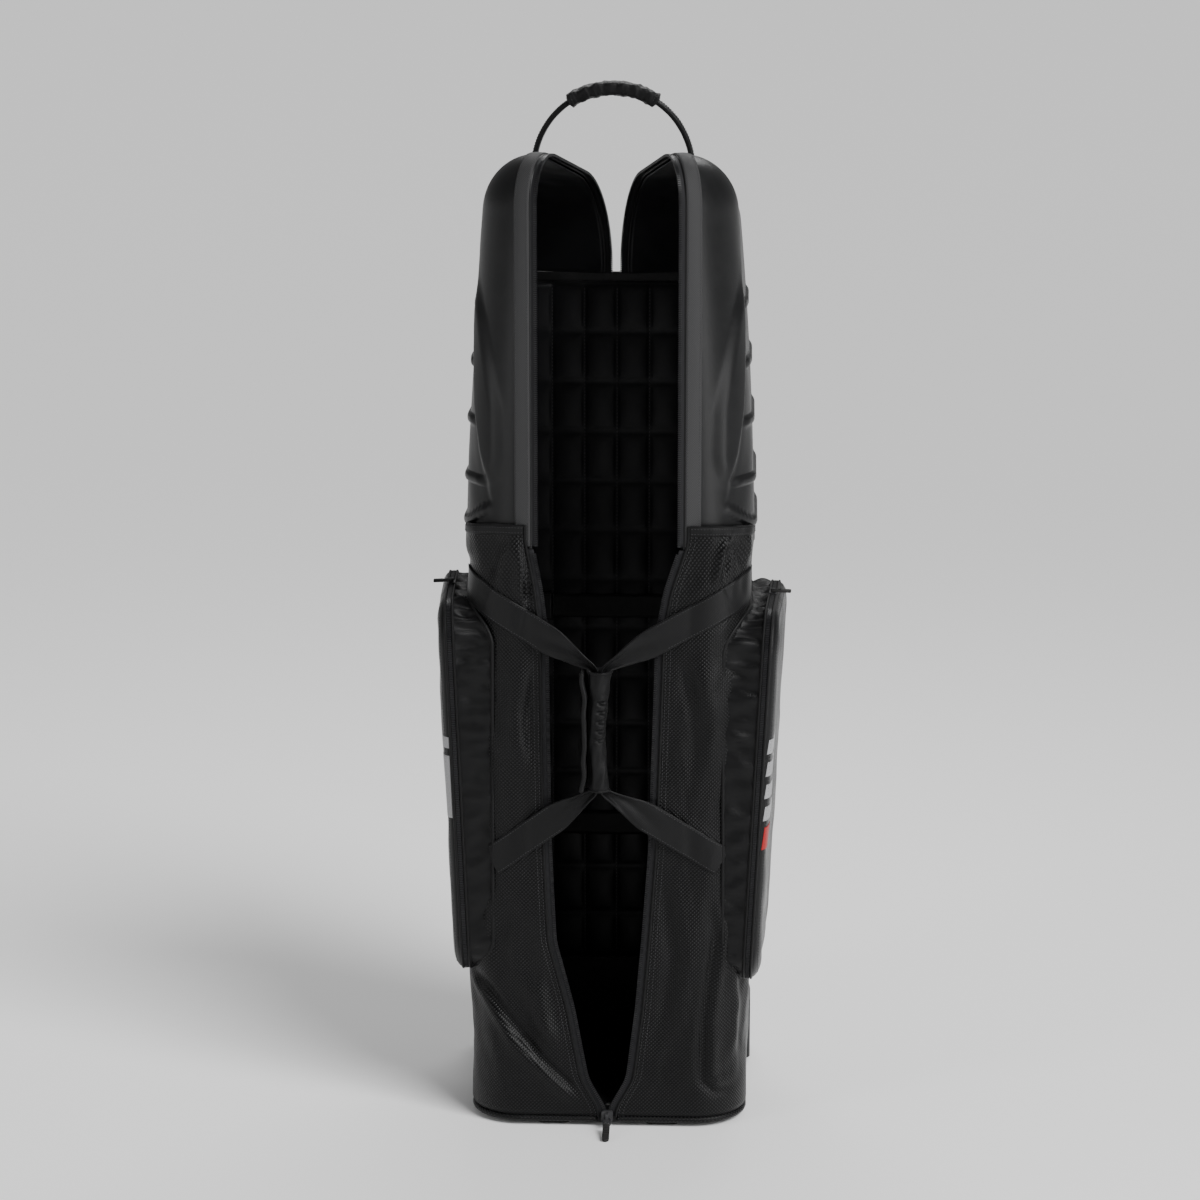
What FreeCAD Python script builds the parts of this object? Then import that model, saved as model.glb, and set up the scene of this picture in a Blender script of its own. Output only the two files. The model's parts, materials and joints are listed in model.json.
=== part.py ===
"""Golf travel case: a tall wheeled bag for a full golf bag, with a hard top in two halves.

The case stands upright on two front feet and two rear wheels, front towards -Y. The hard top
halves swing on piping down the edges of the rigid back board. Below them the body is padded
cloth, slit down the front by the main zip, with a gusseted pocket on each side, a carry handle
across the slit and a bail handle behind the crown. All sizes are millimetres.
"""

import os

import FreeCAD
import Part
from FreeCAD import Vector
from math import cos, pi, radians, sin, sqrt

os.makedirs("parts", exist_ok=True)

# ---- driving dimensions -------------------------------------------------------------------
FRAME_SHIFT_Y = 12.26       # moves the case so that the origin is under the middle of its box
HALF_WIDTH = 184.0          # outer half width of the cloth body
FRONT_Y = -168.0            # outer face of the front flaps
BACK_Y = 165.0              # outer face of the back board
FRONT_CORNER = 70.0         # plan radius of the front corners
BACK_CORNER = 34.0          # plan radius of the back corners
WALL = 4.0                  # padded cloth wall
BODY_Z = 12.0               # underside of the cloth body
BOTTOM_R = 10.0             # rounding along the body's bottom edge
COLLAR_Z = 690.0            # where the loose collar under the hard top begins
HEM_Z = 790.0               # top hem of the cloth body
GAP = 0.4                   # sewing and assembly clearance

BOARD_HALF = 146.0
BOARD_THICK = 8.0
BOARD_TOP = 1100.0
BOARD_CORNER = 20.0
PAD_HALF, PAD_Z, PAD_THICK = 132.0, 130.0, 10.0

TRAY_INSET, TRAY_Z, TRAY_WALL = 8.0, 4.0, 5.0
FOOT_X, FOOT_Y = 72.0, -144.0
FOOT_HALF_X, FOOT_HALF_Y = 24.0, 13.0
FLOOR_Z = BODY_Z + WALL + GAP
FLOOR_THICK = 6.0
FLOOR_RIVETS = [(0, -140), (-110, -100), (110, -100), (-90, 60), (90, 60)]
RIVET_R, RIVET_DOME = 8.0, 5.6

HINGE_X, HINGE_Y = 152.0, 160.0
OPEN_ANGLE = 16.2           # how far each hard half stands open at rest
SHELL_Z = HEM_Z + 2.0
CROWN_Z = 1296.0            # height of the crown's slope above the shut front face
SHELL_FRONT = -138.0        # front face of the hard top when it is shut
CROWN_SLOPE = 0.25          # the crown falls this much for each millimetre towards the back
CROWN_FRONT_R = 76.0
CROWN_BACK_R = 105.0
SHOULDER_R = 68.0
BACK_R = 22.0
SIDE_TAPER = 3.3            # degrees that the side leans in towards the crown
SIDE_OPEN_X = 188.0         # half width at the hem with the top open
SHELL_THICK = 3.0
LINING_THICK = 4.0
TAPE_WIDE = 9.0
BAND_WIDE = 22.0
BAND_THICK = 2.4

POCKET_FRONT, POCKET_BACK = -160.0, 112.0
POCKET_LOW = {"left": 202.0, "right": 192.0}
POCKET_TALL = 500.0
POCKET_OUT = 211.0          # where the gusset ends and the pocket zip begins, at the top
POCKET_DEEP = 18.0          # how far the zip and the dished panel reach beyond that
POCKET_TILT = 2.3           # degrees that the panel leans in towards its foot
POCKET_TURN = 2.9           # degrees that the panel turns in towards its front edge
POCKET_CORNER = 52.0
POCKET_WALL = 2.5

WHEEL_R = 38.0
WHEEL_WIDE = 26.0
WHEEL_X, WHEEL_Y = 152.0, 142.0
HUB_R, HUB_WIDE, HUB_HOLE_R = 27.0, 22.0, 5.0
BEARING_R, BEARING_WIDE = 11.0, 7.0
AXLE_R = 4.0
AXLE_X, AXLE_LONG = 131.0, 51.0
HOUSING_X, HOUSING_Y, HOUSING_Z = (126.0, 189.0), 90.0, (6.0, 98.0)
WHEEL_ROOM = 4.0            # clearance between the tyre and its arch

RAIL_X = 62.0
RAIL_Z = (34.0, 700.0)
RAIL_HALF, RAIL_DEEP = 11.0, 13.0
RAIL_SCREWS = (70.0, 367.0, 664.0)
SCREW_R, SCREW_SEAT = 5.0, 8.0

HANDLE_R = 107.0            # centre line of the bail handle's bow
HANDLE_Z = 1237.0
HANDLE_Y = 184.0
HANDLE_PIVOT_Z = 1080.0
HANDLE_SHIFT = -7.0         # the soft bow leans a little to the left
WEB_THICK, WEB_WIDE = 7.0, 26.0
CAP_HALF_X, CAP_HALF_Y, CAP_LOW, CAP_HIGH = 6.0, 15.0, 12.0, 34.0
BRACKET_RIVETS = [(-4, -26), (22, -26), (22, 6)]

CARRY_WIDE = 38.0
CARRY_THICK = 2.4
CARRY_LIFT = 1.9            # the arms lie this far outside the cloth wall
CARRY_BEND = 108.0          # half width at which the free arms meet the flaps
GRIP_Z = (470.0, 636.0)
GRIP_X, GRIP_Y = -6.0, -196.0
GRIP_R = 20.0
WEB_X = 7.5                 # each loop's run under the grip lies this far from the grip's middle
ANCHORS = {"left": ((178, 707), (142, 370)), "right": ((180, 725), (137, 370))}

SLIDER_Y = -20.0            # pocket slider
PULL_TALL = 6.2             # height of the pocket pull's pin above the pocket's top
SLIDER_Z = 15.0             # main zip slider
MAIN_Y = FRONT_Y - 3.0
PULL_DROOP = 14.5           # degrees that the main pull hangs below level

RIB_Z = (804, 862, 937, 1011, 1085)
RIB_R, RIB_Y, RIB_LONG = 6.5, -92.0, 200.0

TIE_Z = (330.0, 640.0)
TIE_HALF_X, TIE_HALF_Z, TIE_THICK = 128.0, 16.0, 2.4
BUCKLE_LONG, BUCKLE_HALF, BUCKLE_DEEP = 34.0, 19.0, 8.0
SOCKET_X, PLUG_X = -88.0, 104.0
BUCKLE_Y = BACK_Y - BOARD_THICK - PAD_THICK - TIE_THICK - GAP

# half widths of the open slit in the cloth body, as (height, left, right)
SLIT = [(12, 0, 0), (24, 0, 0), (67, 24, 24), (163, 42, 36), (256, 66, 44), (380, 72, 53),
        (655, 76, 62), (720, 82, 71), (790, 93, 90)]

SIDES = {"left": -1, "right": 1}


# ---- small helpers ------------------------------------------------------------------------
def box(x0, x1, y0, y1, z0, z1):
    """A block between two corners, whichever way round they are given."""
    low = Vector(min(x0, x1), min(y0, y1), min(z0, z1))
    return Part.makeBox(abs(x1 - x0), abs(y1 - y0), abs(z1 - z0), low)


def rod(radius, start, direction, length):
    return Part.makeCylinder(radius, length, Vector(*start), Vector(*direction))


def tube(outer, inner, start, direction, length):
    return rod(outer, start, direction, length).cut(rod(inner, start, direction, length))


def face(points):
    """A flat face with straight edges."""
    ring = [Vector(*p) for p in points]
    return Part.Face(Part.makePolygon(ring + ring[:1]))


def mirrored(shape, side):
    """Shapes are drawn for the right side, x above 0."""
    return shape if SIDES[side] > 0 else shape.mirror(Vector(0, 0, 0), Vector(1, 0, 0))


def swung(shape, degrees):
    """Turns a right-hand shape about the right hinge line."""
    turned = shape.copy()
    turned.rotate(Vector(HINGE_X, HINGE_Y, 0), Vector(0, 0, 1), degrees)
    return turned


def rounded_plan(half_width, front, back, front_r, back_r, z0, z1):
    """An upright block with rounded plan corners."""
    block = box(-half_width, half_width, front, back, z0, z1)
    for low, radius in ((True, front_r), (False, back_r)):
        edges = [e for e in block.Edges if upright(e)
                 and abs(e.Vertexes[0].Point.y - (front if low else back)) < 1e-6]
        block = block.makeFillet(radius, edges)
    return block


def upright(edge):
    ends = [v.Point for v in edge.Vertexes]
    return len(ends) == 2 and abs(ends[0].x - ends[1].x) + abs(ends[0].y - ends[1].y) < 1e-6


def body_block(inset, z0, z1):
    """The cloth body's outline, inset by some thickness."""
    return rounded_plan(HALF_WIDTH - inset, FRONT_Y + inset, BACK_Y - inset,
                        FRONT_CORNER - inset, BACK_CORNER - inset, z0, z1)


def boot_block(inset, z0, z1):
    """The same outline with its bottom edge rounded."""
    block = body_block(inset, z0, z1)
    return block.makeFillet(BOTTOM_R - inset, [e for e in block.Edges if e.BoundBox.ZMax < z0 + 1e-6])


def slit_points(side, grow):
    """The slit's edge on one side as (x, z), moved outwards by grow, drawn for the right side."""
    column = 1 if side == "left" else 2
    return [(row[column] + grow, row[0]) for row in SLIT]


def slit_cutter(side, grow):
    """Everything in front of the case's middle between x = 0 and the slit's edge."""
    edge = slit_points(side, grow)
    ring = [(-5, edge[0][1] - 5), (edge[0][0], edge[0][1] - 5)] + edge
    ring += [(edge[-1][0], edge[-1][1] + 5), (-5, edge[-1][1] + 5)]
    flat = face([(x, FRONT_Y - 30, z) for x, z in ring])
    return flat.extrude(Vector(0, 100, 0))


def export(name, shape):
    """Writes one node, checked, in the row's frame."""
    moved = shape.copy()
    moved.translate(Vector(0, FRAME_SHIFT_Y, 0))
    if moved.ShapeType != "Compound":
        moved = Part.makeCompound([moved])
    solids = moved.Solids
    bad = [s for s in solids if not s.isValid() or s.Volume <= 0]
    if not solids or bad:
        raise ValueError(f"{name}: {len(solids)} solids, {len(bad)} bad")
    shape_out = solids[0] if len(solids) == 1 else Part.makeCompound(solids)
    shape_out.exportStep(f"parts/{name}.step")
    BOXES.append(moved.BoundBox)
    print(f"{name:24s} solids {len(solids):3d}  volume {sum(s.Volume for s in solids) / 1000:9.1f} cm3")


BOXES = []


# ---- base: tray, feet, floor board --------------------------------------------------------
def wheel_space(grow):
    """The corner block that each wheel housing fills, for the right side."""
    return box(124 - grow, 240, 88 - grow, 240, -5, 100 + grow)


def base_tray():
    outer = body_block(TRAY_INSET, TRAY_Z, BODY_Z - GAP)
    pocket = body_block(TRAY_INSET + TRAY_WALL, TRAY_Z + 4, BODY_Z + 5)
    tray = outer.cut(pocket)
    for side in SIDES:
        tray = tray.cut(mirrored(wheel_space(GAP), side))
    return tray.removeSplitter()


def front_feet():
    feet = []
    for side in SIDES:
        foot = rounded_plan(FOOT_HALF_X, -FOOT_HALF_Y, FOOT_HALF_Y, 12, 12, 0, TRAY_Z)
        foot.translate(Vector(SIDES[side] * FOOT_X, FOOT_Y, 0))
        foot = foot.makeFillet(2, [e for e in foot.Edges if e.BoundBox.ZMax < 0.01])
        feet.append(foot)
    return Part.makeCompound(feet)


def floor_board():
    board = boot_block(WALL + GAP, FLOOR_Z, FLOOR_Z + FLOOR_THICK)
    board = board.cut(box(-BOARD_HALF - 1, BOARD_HALF + 1, BACK_Y - BOARD_THICK - 1, BACK_Y + 5, 0, 60))
    for side in SIDES:
        board = board.cut(mirrored(wheel_space(GAP), side))
    for x, y in FLOOR_RIVETS:
        board = board.cut(rod(2.6, (x, y, 0), (0, 0, 1), 60))
    return board


def floor_rivets():
    """Domed rivets in the floor board."""
    rivets = []
    for x, y in FLOOR_RIVETS:
        top = FLOOR_Z + FLOOR_THICK + 0.02
        head = Part.makeSphere(RIVET_R, Vector(x, y, top - RIVET_DOME)).common(
            box(x - 9, x + 9, y - 9, y + 9, top, top + 6))
        rivets.append(head.fuse(rod(2.5, (x, y, FLOOR_Z), (0, 0, 1), 7)).removeSplitter())
    return Part.makeCompound(rivets)


# ---- wheels -------------------------------------------------------------------------------
def wheel_housing():
    """A moulded corner block with an arch for the wheel and a seat for its axle."""
    block = box(*HOUSING_X, HOUSING_Y, BACK_Y + 7, *HOUSING_Z)
    outer = [e for e in block.Edges if e.BoundBox.XMin > HOUSING_X[1] - 1]
    block = block.makeFillet(14, [e for e in outer if upright(e) or e.BoundBox.ZMin > HOUSING_Z[1] - 1])
    inside = WHEEL_X - WHEEL_WIDE / 2 - WHEEL_ROOM + 1
    wide = WHEEL_WIDE + 2 * WHEEL_ROOM - 2
    arch = rod(WHEEL_R + WHEEL_ROOM, (inside, WHEEL_Y, WHEEL_R), (1, 0, 0), wide)
    mouth = box(inside, inside + wide, WHEEL_Y - WHEEL_R - WHEEL_ROOM, 240, 0, WHEEL_R)
    hole = rod(AXLE_R + 0.03, (AXLE_X, WHEEL_Y, WHEEL_R), (1, 0, 0), AXLE_LONG)
    return block.cut(arch).cut(mouth).cut(hole)


def wheel_axles():
    return Part.makeCompound([
        rod(AXLE_R, (SIDES[side] * AXLE_X, WHEEL_Y, WHEEL_R), (SIDES[side], 0, 0), AXLE_LONG)
        for side in SIDES])


def wheel_tyre():
    tyre = tube(WHEEL_R, HUB_R, (WHEEL_X - WHEEL_WIDE / 2, WHEEL_Y, WHEEL_R), (1, 0, 0), WHEEL_WIDE)
    rims = [e for e in tyre.Edges if e.BoundBox.YLength > 2 * WHEEL_R - 0.1]
    return tyre.makeFillet(9, rims)


def wheel_hub():
    start = WHEEL_X - HUB_WIDE / 2
    ring = (HUB_R + BEARING_R) / 2
    hub = tube(HUB_R - 0.02, BEARING_R, (start, WHEEL_Y, WHEEL_R), (1, 0, 0), HUB_WIDE)
    for k in range(6):
        y, z = WHEEL_Y + ring * cos(k * pi / 3), WHEEL_R + ring * sin(k * pi / 3)
        hub = hub.cut(rod(HUB_HOLE_R, (start - 1, y, z), (1, 0, 0), HUB_WIDE + 2))
    return hub


def wheel_bearings():
    starts = (WHEEL_X - HUB_WIDE / 2, WHEEL_X + HUB_WIDE / 2 - BEARING_WIDE)
    return Part.makeCompound([
        tube(BEARING_R - 0.02, AXLE_R + 0.05, (x, WHEEL_Y, WHEEL_R), (1, 0, 0), BEARING_WIDE)
        for x in starts])


# ---- back board, skid rails ---------------------------------------------------------------
def back_board():
    board = box(-BOARD_HALF, BOARD_HALF, BACK_Y - BOARD_THICK, BACK_Y, BODY_Z, BOARD_TOP)
    corners = [e for e in board.Edges if e.BoundBox.ZMin > BOARD_TOP - 1 and e.BoundBox.XLength < 1]
    board = board.makeFillet(BOARD_CORNER, corners)
    for side in SIDES:
        board = board.cut(mirrored(wheel_space(GAP), side))
    return board


def back_pad():
    """Quilted foam pad on the inside of the board."""
    y = BACK_Y - BOARD_THICK
    pad = box(-PAD_HALF, PAD_HALF, y - PAD_THICK, y - GAP, PAD_Z, BOARD_TOP - 12)
    return pad.makeFillet(7, [e for e in pad.Edges if e.BoundBox.YMax < y - PAD_THICK + 1])


def skid_rails():
    rails = []
    for side in SIDES:
        x = SIDES[side] * RAIL_X
        rail = box(x - RAIL_HALF, x + RAIL_HALF, BACK_Y + GAP, BACK_Y + RAIL_DEEP, *RAIL_Z)
        rail = rail.makeFillet(8, [e for e in rail.Edges if e.BoundBox.YMin > BACK_Y + RAIL_DEEP - 1])
        for z in RAIL_SCREWS:
            rail = rail.cut(rod(SCREW_R + 0.5, (x, BACK_Y + SCREW_SEAT, z), (0, 1, 0), 20))
            rail = rail.cut(rod(2.3, (x, BACK_Y - 1, z), (0, 1, 0), 20))
        rails.append(rail)
    return Part.makeCompound(rails)


def rail_screws():
    screws = []
    for side in SIDES:
        for z in RAIL_SCREWS:
            x, seat = SIDES[side] * RAIL_X, BACK_Y + SCREW_SEAT
            head = rod(SCREW_R, (x, seat + 0.02, z), (0, 1, 0), 3)
            slot = box(x - 3, x + 3, seat + 2, seat + 4, z - 0.6, z + 0.6)
            slot = slot.fuse(box(x - 0.6, x + 0.6, seat + 2, seat + 4, z - 3, z + 3))
            shank = rod(2.2, (x, BACK_Y + GAP, z), (0, 1, 0), SCREW_SEAT)
            screws.append(head.cut(slot).fuse(shank).removeSplitter())
    return Part.makeCompound(screws)


# ---- cloth body ---------------------------------------------------------------------------
def cloth_half(ring, side):
    """Keeps one side of a ring of cloth, clear of the board, the slit and the wheel housing."""
    half = ring.common(box(GAP / 2, 260, -260, 260, 0, 900))
    half = half.cut(box(-1, BOARD_HALF + 1.5, BACK_Y - BOARD_THICK - 10, 260, 0, 900))
    half = half.cut(slit_cutter(side, TAPE_WIDE + GAP))
    return mirrored(half.cut(wheel_space(GAP)), side)


def cloth_wall(side):
    """One half of the padded boot: floor, back corner, side, front corner and front flap."""
    boot = boot_block(0, BODY_Z, COLLAR_Z).cut(boot_block(WALL, BODY_Z + WALL, COLLAR_Z + 1))
    return cloth_half(boot, side)


def cloth_collar(side):
    """The looser top of the wall, whose hem stands a little outside the hard top."""
    ring = body_block(-1.5, COLLAR_Z + 0.2, HEM_Z).cut(body_block(WALL, COLLAR_Z - 1, HEM_Z + 1))
    return cloth_half(ring, side)


def zip_strip(side):
    """The lower main zip: a tape along the slit's edge with a bead of teeth on its free edge."""
    inner, outer = slit_points(side, 0.8), slit_points(side, TAPE_WIDE)
    ring = inner + outer[::-1]
    tape = face([(x, FRONT_Y + 1.2, z) for x, z in ring]).extrude(Vector(0, 1.6, 0))
    teeth = slit_points(side, 3.4)
    ring = inner + teeth[::-1]
    bead = face([(x, FRONT_Y + 0.2, z) for x, z in ring]).extrude(Vector(0, 3.6, 0))
    return mirrored(tape.fuse(bead).removeSplitter(), side)


# ---- side pockets -------------------------------------------------------------------------
def pocket_block(side, inset, x0, x1):
    """The pocket's outline in side view, as a block along X."""
    low = POCKET_LOW[side] + inset
    block = box(x0, x1, POCKET_FRONT + inset, POCKET_BACK - inset, low, low + POCKET_TALL - 2 * inset)
    edges = [e for e in block.Edges if e.BoundBox.XLength > 1]
    return block.makeFillet(POCKET_CORNER - inset, edges)


def tilted(shape, side):
    """Leans a right-hand piece in towards the pocket's foot and front edge."""
    turned = shape.copy()
    pivot = Vector(POCKET_OUT + POCKET_DEEP, -24, POCKET_LOW[side] + POCKET_TALL - 2)
    turned.rotate(pivot, Vector(0, 1, 0), POCKET_TILT)
    turned.rotate(pivot, Vector(0, 0, 1), -POCKET_TURN)
    return turned


def pocket_gusset(side):
    block = pocket_block(side, 0, 130, POCKET_OUT + 30)
    block = block.cut(pocket_block(side, POCKET_WALL, 120, POCKET_OUT + 40))
    block = block.cut(tilted(box(POCKET_OUT, POCKET_OUT + 90, -300, 300, 0, 900), side))
    return mirrored(block.cut(body_block(-1.9, 0, 800)), side)


def pocket_zip(side):
    ring = pocket_block(side, 0.4, POCKET_OUT + GAP, POCKET_OUT + 4).cut(
        pocket_block(side, 4.4, POCKET_OUT - 5, POCKET_OUT + 9))
    return mirrored(tilted(ring, side), side)


def pocket_door(side):
    """The dished outer panel, sewn to the outer row of the pocket zip."""
    x = POCKET_OUT + POCKET_DEEP
    plate = pocket_block(side, 0, POCKET_OUT + 4.4, x)
    plate = plate.makeFillet(11, [e for e in plate.Edges if e.BoundBox.XMin > x - 0.1])
    hollow = pocket_block(side, 3, POCKET_OUT, x - 3)
    hollow = hollow.makeFillet(8, [e for e in hollow.Edges if e.BoundBox.XMin > x - 3.1])
    return mirrored(tilted(plate.cut(hollow), side), side)


def pocket_slider(side):
    x, top = POCKET_OUT + 2, POCKET_LOW[side] + POCKET_TALL
    body = box(x - 5, x + 5, SLIDER_Y - 8, SLIDER_Y + 8, top + 0.6, top + 4)
    body = body.makeFillet(2, [e for e in body.Edges if abs(e.BoundBox.ZLength - 3.4) < 0.01])
    bridge = box(x - 3, x + 3, SLIDER_Y - 2, SLIDER_Y + 2, top + 4, top + 8.6)
    bridge = bridge.cut(rod(1.55, (x, SLIDER_Y - 3, top + PULL_TALL), (0, 1, 0), 6))
    return mirrored(tilted(body.fuse(bridge).removeSplitter(), side), side)


def pocket_pull(side):
    """A looped pull with a moulded end, lying out over the pocket's edge."""
    x, z = POCKET_OUT + 2, POCKET_LOW[side] + POCKET_TALL + PULL_TALL
    eye = rod(1.5, (x, SLIDER_Y - 5, z), (0, 1, 0), 10)
    arms = [box(x, x + 12, SLIDER_Y + y - 1.2, SLIDER_Y + y + 1.2, z - 1.2, z + 1.2) for y in (-3.8, 3.8)]
    tip = box(x + 10, x + 24, SLIDER_Y - 5, SLIDER_Y + 5, z - 1.9, z + 1.9)
    tip = tip.makeFillet(1.5, tip.Edges)
    return mirrored(tilted(eye.fuse(arms).fuse(tip).removeSplitter(), side), side)


# ---- carry handle -------------------------------------------------------------------------
def diagonal_band(start, end):
    """A band of the webbing's width between two (x, z) points, as a deep block along Y."""
    a, b = Vector(start[0], -320, start[1]), Vector(end[0], -320, end[1])
    along = (b - a).normalize()
    across = along.cross(Vector(0, 1, 0)) * (CARRY_WIDE / 2)
    ring = [a + across, b + across, b - across, a - across]
    return Part.Face(Part.makePolygon(ring + ring[:1])).extrude(Vector(0, 300, 0))


def carry_web(side):
    """One loop of webbing: an arm from the upper anchor, the run in the grip, and an arm back.

    Each arm runs straight from the grip to the flap, then lies on the flap and its corner.
    """
    inner = SIDES[side] * GRIP_X + WEB_X
    face_y, lap = FRONT_Y - CARRY_LIFT, CARRY_BEND + 6
    plan = [(inner - 2, GRIP_Y + 4), (CARRY_BEND, face_y - CARRY_THICK), (lap, face_y - CARRY_THICK),
            (lap, face_y), (CARRY_BEND, face_y), (inner - 2, GRIP_Y + 4 + CARRY_THICK)]
    curtain = face([(x, y, 300) for x, y in plan]).extrude(Vector(0, 0, 500))
    skin = body_block(-CARRY_LIFT - CARRY_THICK, 300, 800).cut(body_block(-CARRY_LIFT, 290, 810))
    curtain = curtain.fuse(skin.common(box(lap - 0.1, 260, -260, -60, 300, 800)))
    curtain = curtain.cut(pocket_block(side, -GAP, 120, 260))
    upper, lower = ANCHORS[side]
    arms = [curtain.common(diagonal_band(upper, (inner, GRIP_Z[1] + 2))),
            curtain.common(diagonal_band(lower, (inner, GRIP_Z[0] - 2)))]
    run = box(inner - 2, inner + 2, GRIP_Y - 15, GRIP_Y + 15, GRIP_Z[0] - 14, GRIP_Z[1] + 14)
    web = mirrored(run.fuse(arms).removeSplitter(), side)
    return web.cut(carry_grip(GAP))


def carry_grip(grow=0.0):
    """The padded wrap that holds both loops together, grown by some clearance."""
    low, tall = GRIP_Z[0] - grow, GRIP_Z[1] - GRIP_Z[0] + 2 * grow
    outer = rod(GRIP_R + grow, (GRIP_X, GRIP_Y, low), (0, 0, 1), tall)
    half_x, half_y = WEB_X + 3, 16
    return outer.cut(box(GRIP_X - half_x, GRIP_X + half_x, GRIP_Y - half_y, GRIP_Y + half_y,
                         low - 1, low + tall + 1))


# ---- main zip slider ----------------------------------------------------------------------
def main_slider():
    body = box(-7.5, 7.5, MAIN_Y - 2.5, MAIN_Y + 2.5, SLIDER_Z - 7, SLIDER_Z + 9)
    body = body.makeFillet(3, [e for e in body.Edges if e.BoundBox.YLength > 1])
    bridge = box(-2, 2, MAIN_Y - 9, MAIN_Y - 2.5, SLIDER_Z - 5, SLIDER_Z + 7)
    bridge = bridge.cut(rod(1.65, (-3, MAIN_Y - 6, SLIDER_Z), (1, 0, 0), 6))
    return body.fuse(bridge).removeSplitter()


def main_pull():
    """A cast ring and a moulded tab, drooping forwards to the floor."""
    y, z = MAIN_Y - 6, SLIDER_Z
    pin = rod(1.6, (-6, y, z), (1, 0, 0), 12)
    arms = [box(x - 1.4, x + 1.4, y - 15, y, z - 1.3, z + 1.3) for x in (-4.6, 4.6)]
    tab = box(-6, 6, y - 50, y - 13, z - 2.2, z + 2.2)
    tab = tab.makeFillet(2, tab.Edges)
    pull = pin.fuse(arms).fuse(tab).removeSplitter()
    pull.rotate(Vector(0, y, z), Vector(1, 0, 0), PULL_DROOP)
    return pull


# ---- hard top -----------------------------------------------------------------------------
def side_prism(grow, back, corner_back):
    """The hard top's outline in side view, extruded sideways and cut off by the leaning side."""
    front = SHELL_FRONT - grow
    lift = CROWN_Z + grow * sqrt(1 + CROWN_SLOPE ** 2)
    low = SHELL_Z - 60
    ring = [(0, front, low), (0, front, lift - CROWN_SLOPE * (front - SHELL_FRONT)),
            (0, back, lift - CROWN_SLOPE * (back - SHELL_FRONT)), (0, back, low)]
    block = face(ring).extrude(Vector(400, 0, 0))
    for y, radius in ((front, CROWN_FRONT_R + grow), (back, corner_back)):
        edge = [e for e in block.Edges if e.BoundBox.XLength > 399 and abs(e.BoundBox.YMin - y) < 1e-6
                and e.BoundBox.ZMin > low + 1]
        if radius > 0:
            block = block.makeFillet(radius, edge)
    # the side plane is upright along Y with the top open, and leans in towards the crown
    side = Part.makeBox(400, 2000, 1600, Vector(SIDE_OPEN_X + grow, -900, -200))
    side.rotate(Vector(SIDE_OPEN_X + grow, 0, SHELL_Z), Vector(0, 1, 0), -SIDE_TAPER)
    return block.cut(swung(side, -OPEN_ANGLE))


def rounded_over(block, radius):
    """Rounds the long outline edge between the crown and the side."""
    low = SHELL_Z - 60
    outline = [e for e in block.Edges if e.BoundBox.XMin > 20 and e.BoundBox.ZMax > low + 1
               and e.BoundBox.YMax < 399]
    return block.makeFillet(radius, outline)


def half_solid(grow):
    """The right half of the hard top when shut, as one solid block, offset outwards by grow.

    One block gives the wide shoulder over the front and crown, the other the tighter back edge.
    """
    wide = rounded_over(side_prism(grow, 400, 0), SHOULDER_R + grow)
    tight = rounded_over(side_prism(grow, BACK_Y + grow, CROWN_BACK_R + grow), BACK_R + grow)
    return wide.common(tight).cut(box(-10, 500, -500, 500, SHELL_Z - 70, SHELL_Z))


def rim_slab(x0, x1):
    return box(x0, x1, -400, 400, SHELL_Z - 1, CROWN_Z + 60)


def below_board(grow):
    """The part of the back that belongs to the board: the hard top starts above it and beside it."""
    return box(-20, HINGE_X + 4.5, BACK_Y - 45, BACK_Y + 60, 0, BOARD_TOP + 2 + grow)


def seated(shape, side):
    """Opens a right-hand piece of the hard top and puts it on its side of the case."""
    return mirrored(swung(shape, OPEN_ANGLE), side)


def ribs():
    """Five bars moulded across the side, which stiffen it."""
    bars = []
    for z in RIB_Z:
        x = SIDE_OPEN_X - (z - SHELL_Z) * sin(radians(SIDE_TAPER))
        bar = rod(RIB_R, (x - 1.5, RIB_Y, z), (0, 1, 0), RIB_LONG)
        bars.append(swung(bar, -OPEN_ANGLE))
    return bars


def shell(side):
    skin = half_solid(0).cut(half_solid(-SHELL_THICK)).common(rim_slab(TAPE_WIDE, 400))
    skin = skin.cut(below_board(0))
    inside = half_solid(-SHELL_THICK + 1)
    edge = HINGE_X + 3.5
    flange = box(edge, edge + 3, BACK_Y - 20, BACK_Y - 2, SHELL_Z + 6, BOARD_TOP - 4)
    extras = [piece.cut(inside) for piece in ribs() + [flange]]
    return seated(skin.fuse(extras).removeSplitter(), side)


def lining(side):
    skin = half_solid(-SHELL_THICK - GAP).cut(half_solid(-SHELL_THICK - LINING_THICK))
    skin = skin.common(rim_slab(TAPE_WIDE + 2, 400))
    return seated(skin.cut(below_board(3)).cut(box(-10, 500, -500, 500, 0, SHELL_Z + 6)), side)


def shell_band(side):
    skin = half_solid(BAND_THICK + 0.1).cut(half_solid(0.1))
    skin = skin.common(rim_slab(TAPE_WIDE, TAPE_WIDE + BAND_WIDE))
    return seated(skin.cut(below_board(1)), side)


def upper_zip(side):
    tape = half_solid(-0.7).cut(half_solid(-2.3)).common(rim_slab(0.8, TAPE_WIDE - 0.1))
    bead = half_solid(0.3).cut(half_solid(-3.3)).common(rim_slab(0.8, 3.4))
    return seated(tape.fuse(bead).removeSplitter().cut(below_board(1)), side)


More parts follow.
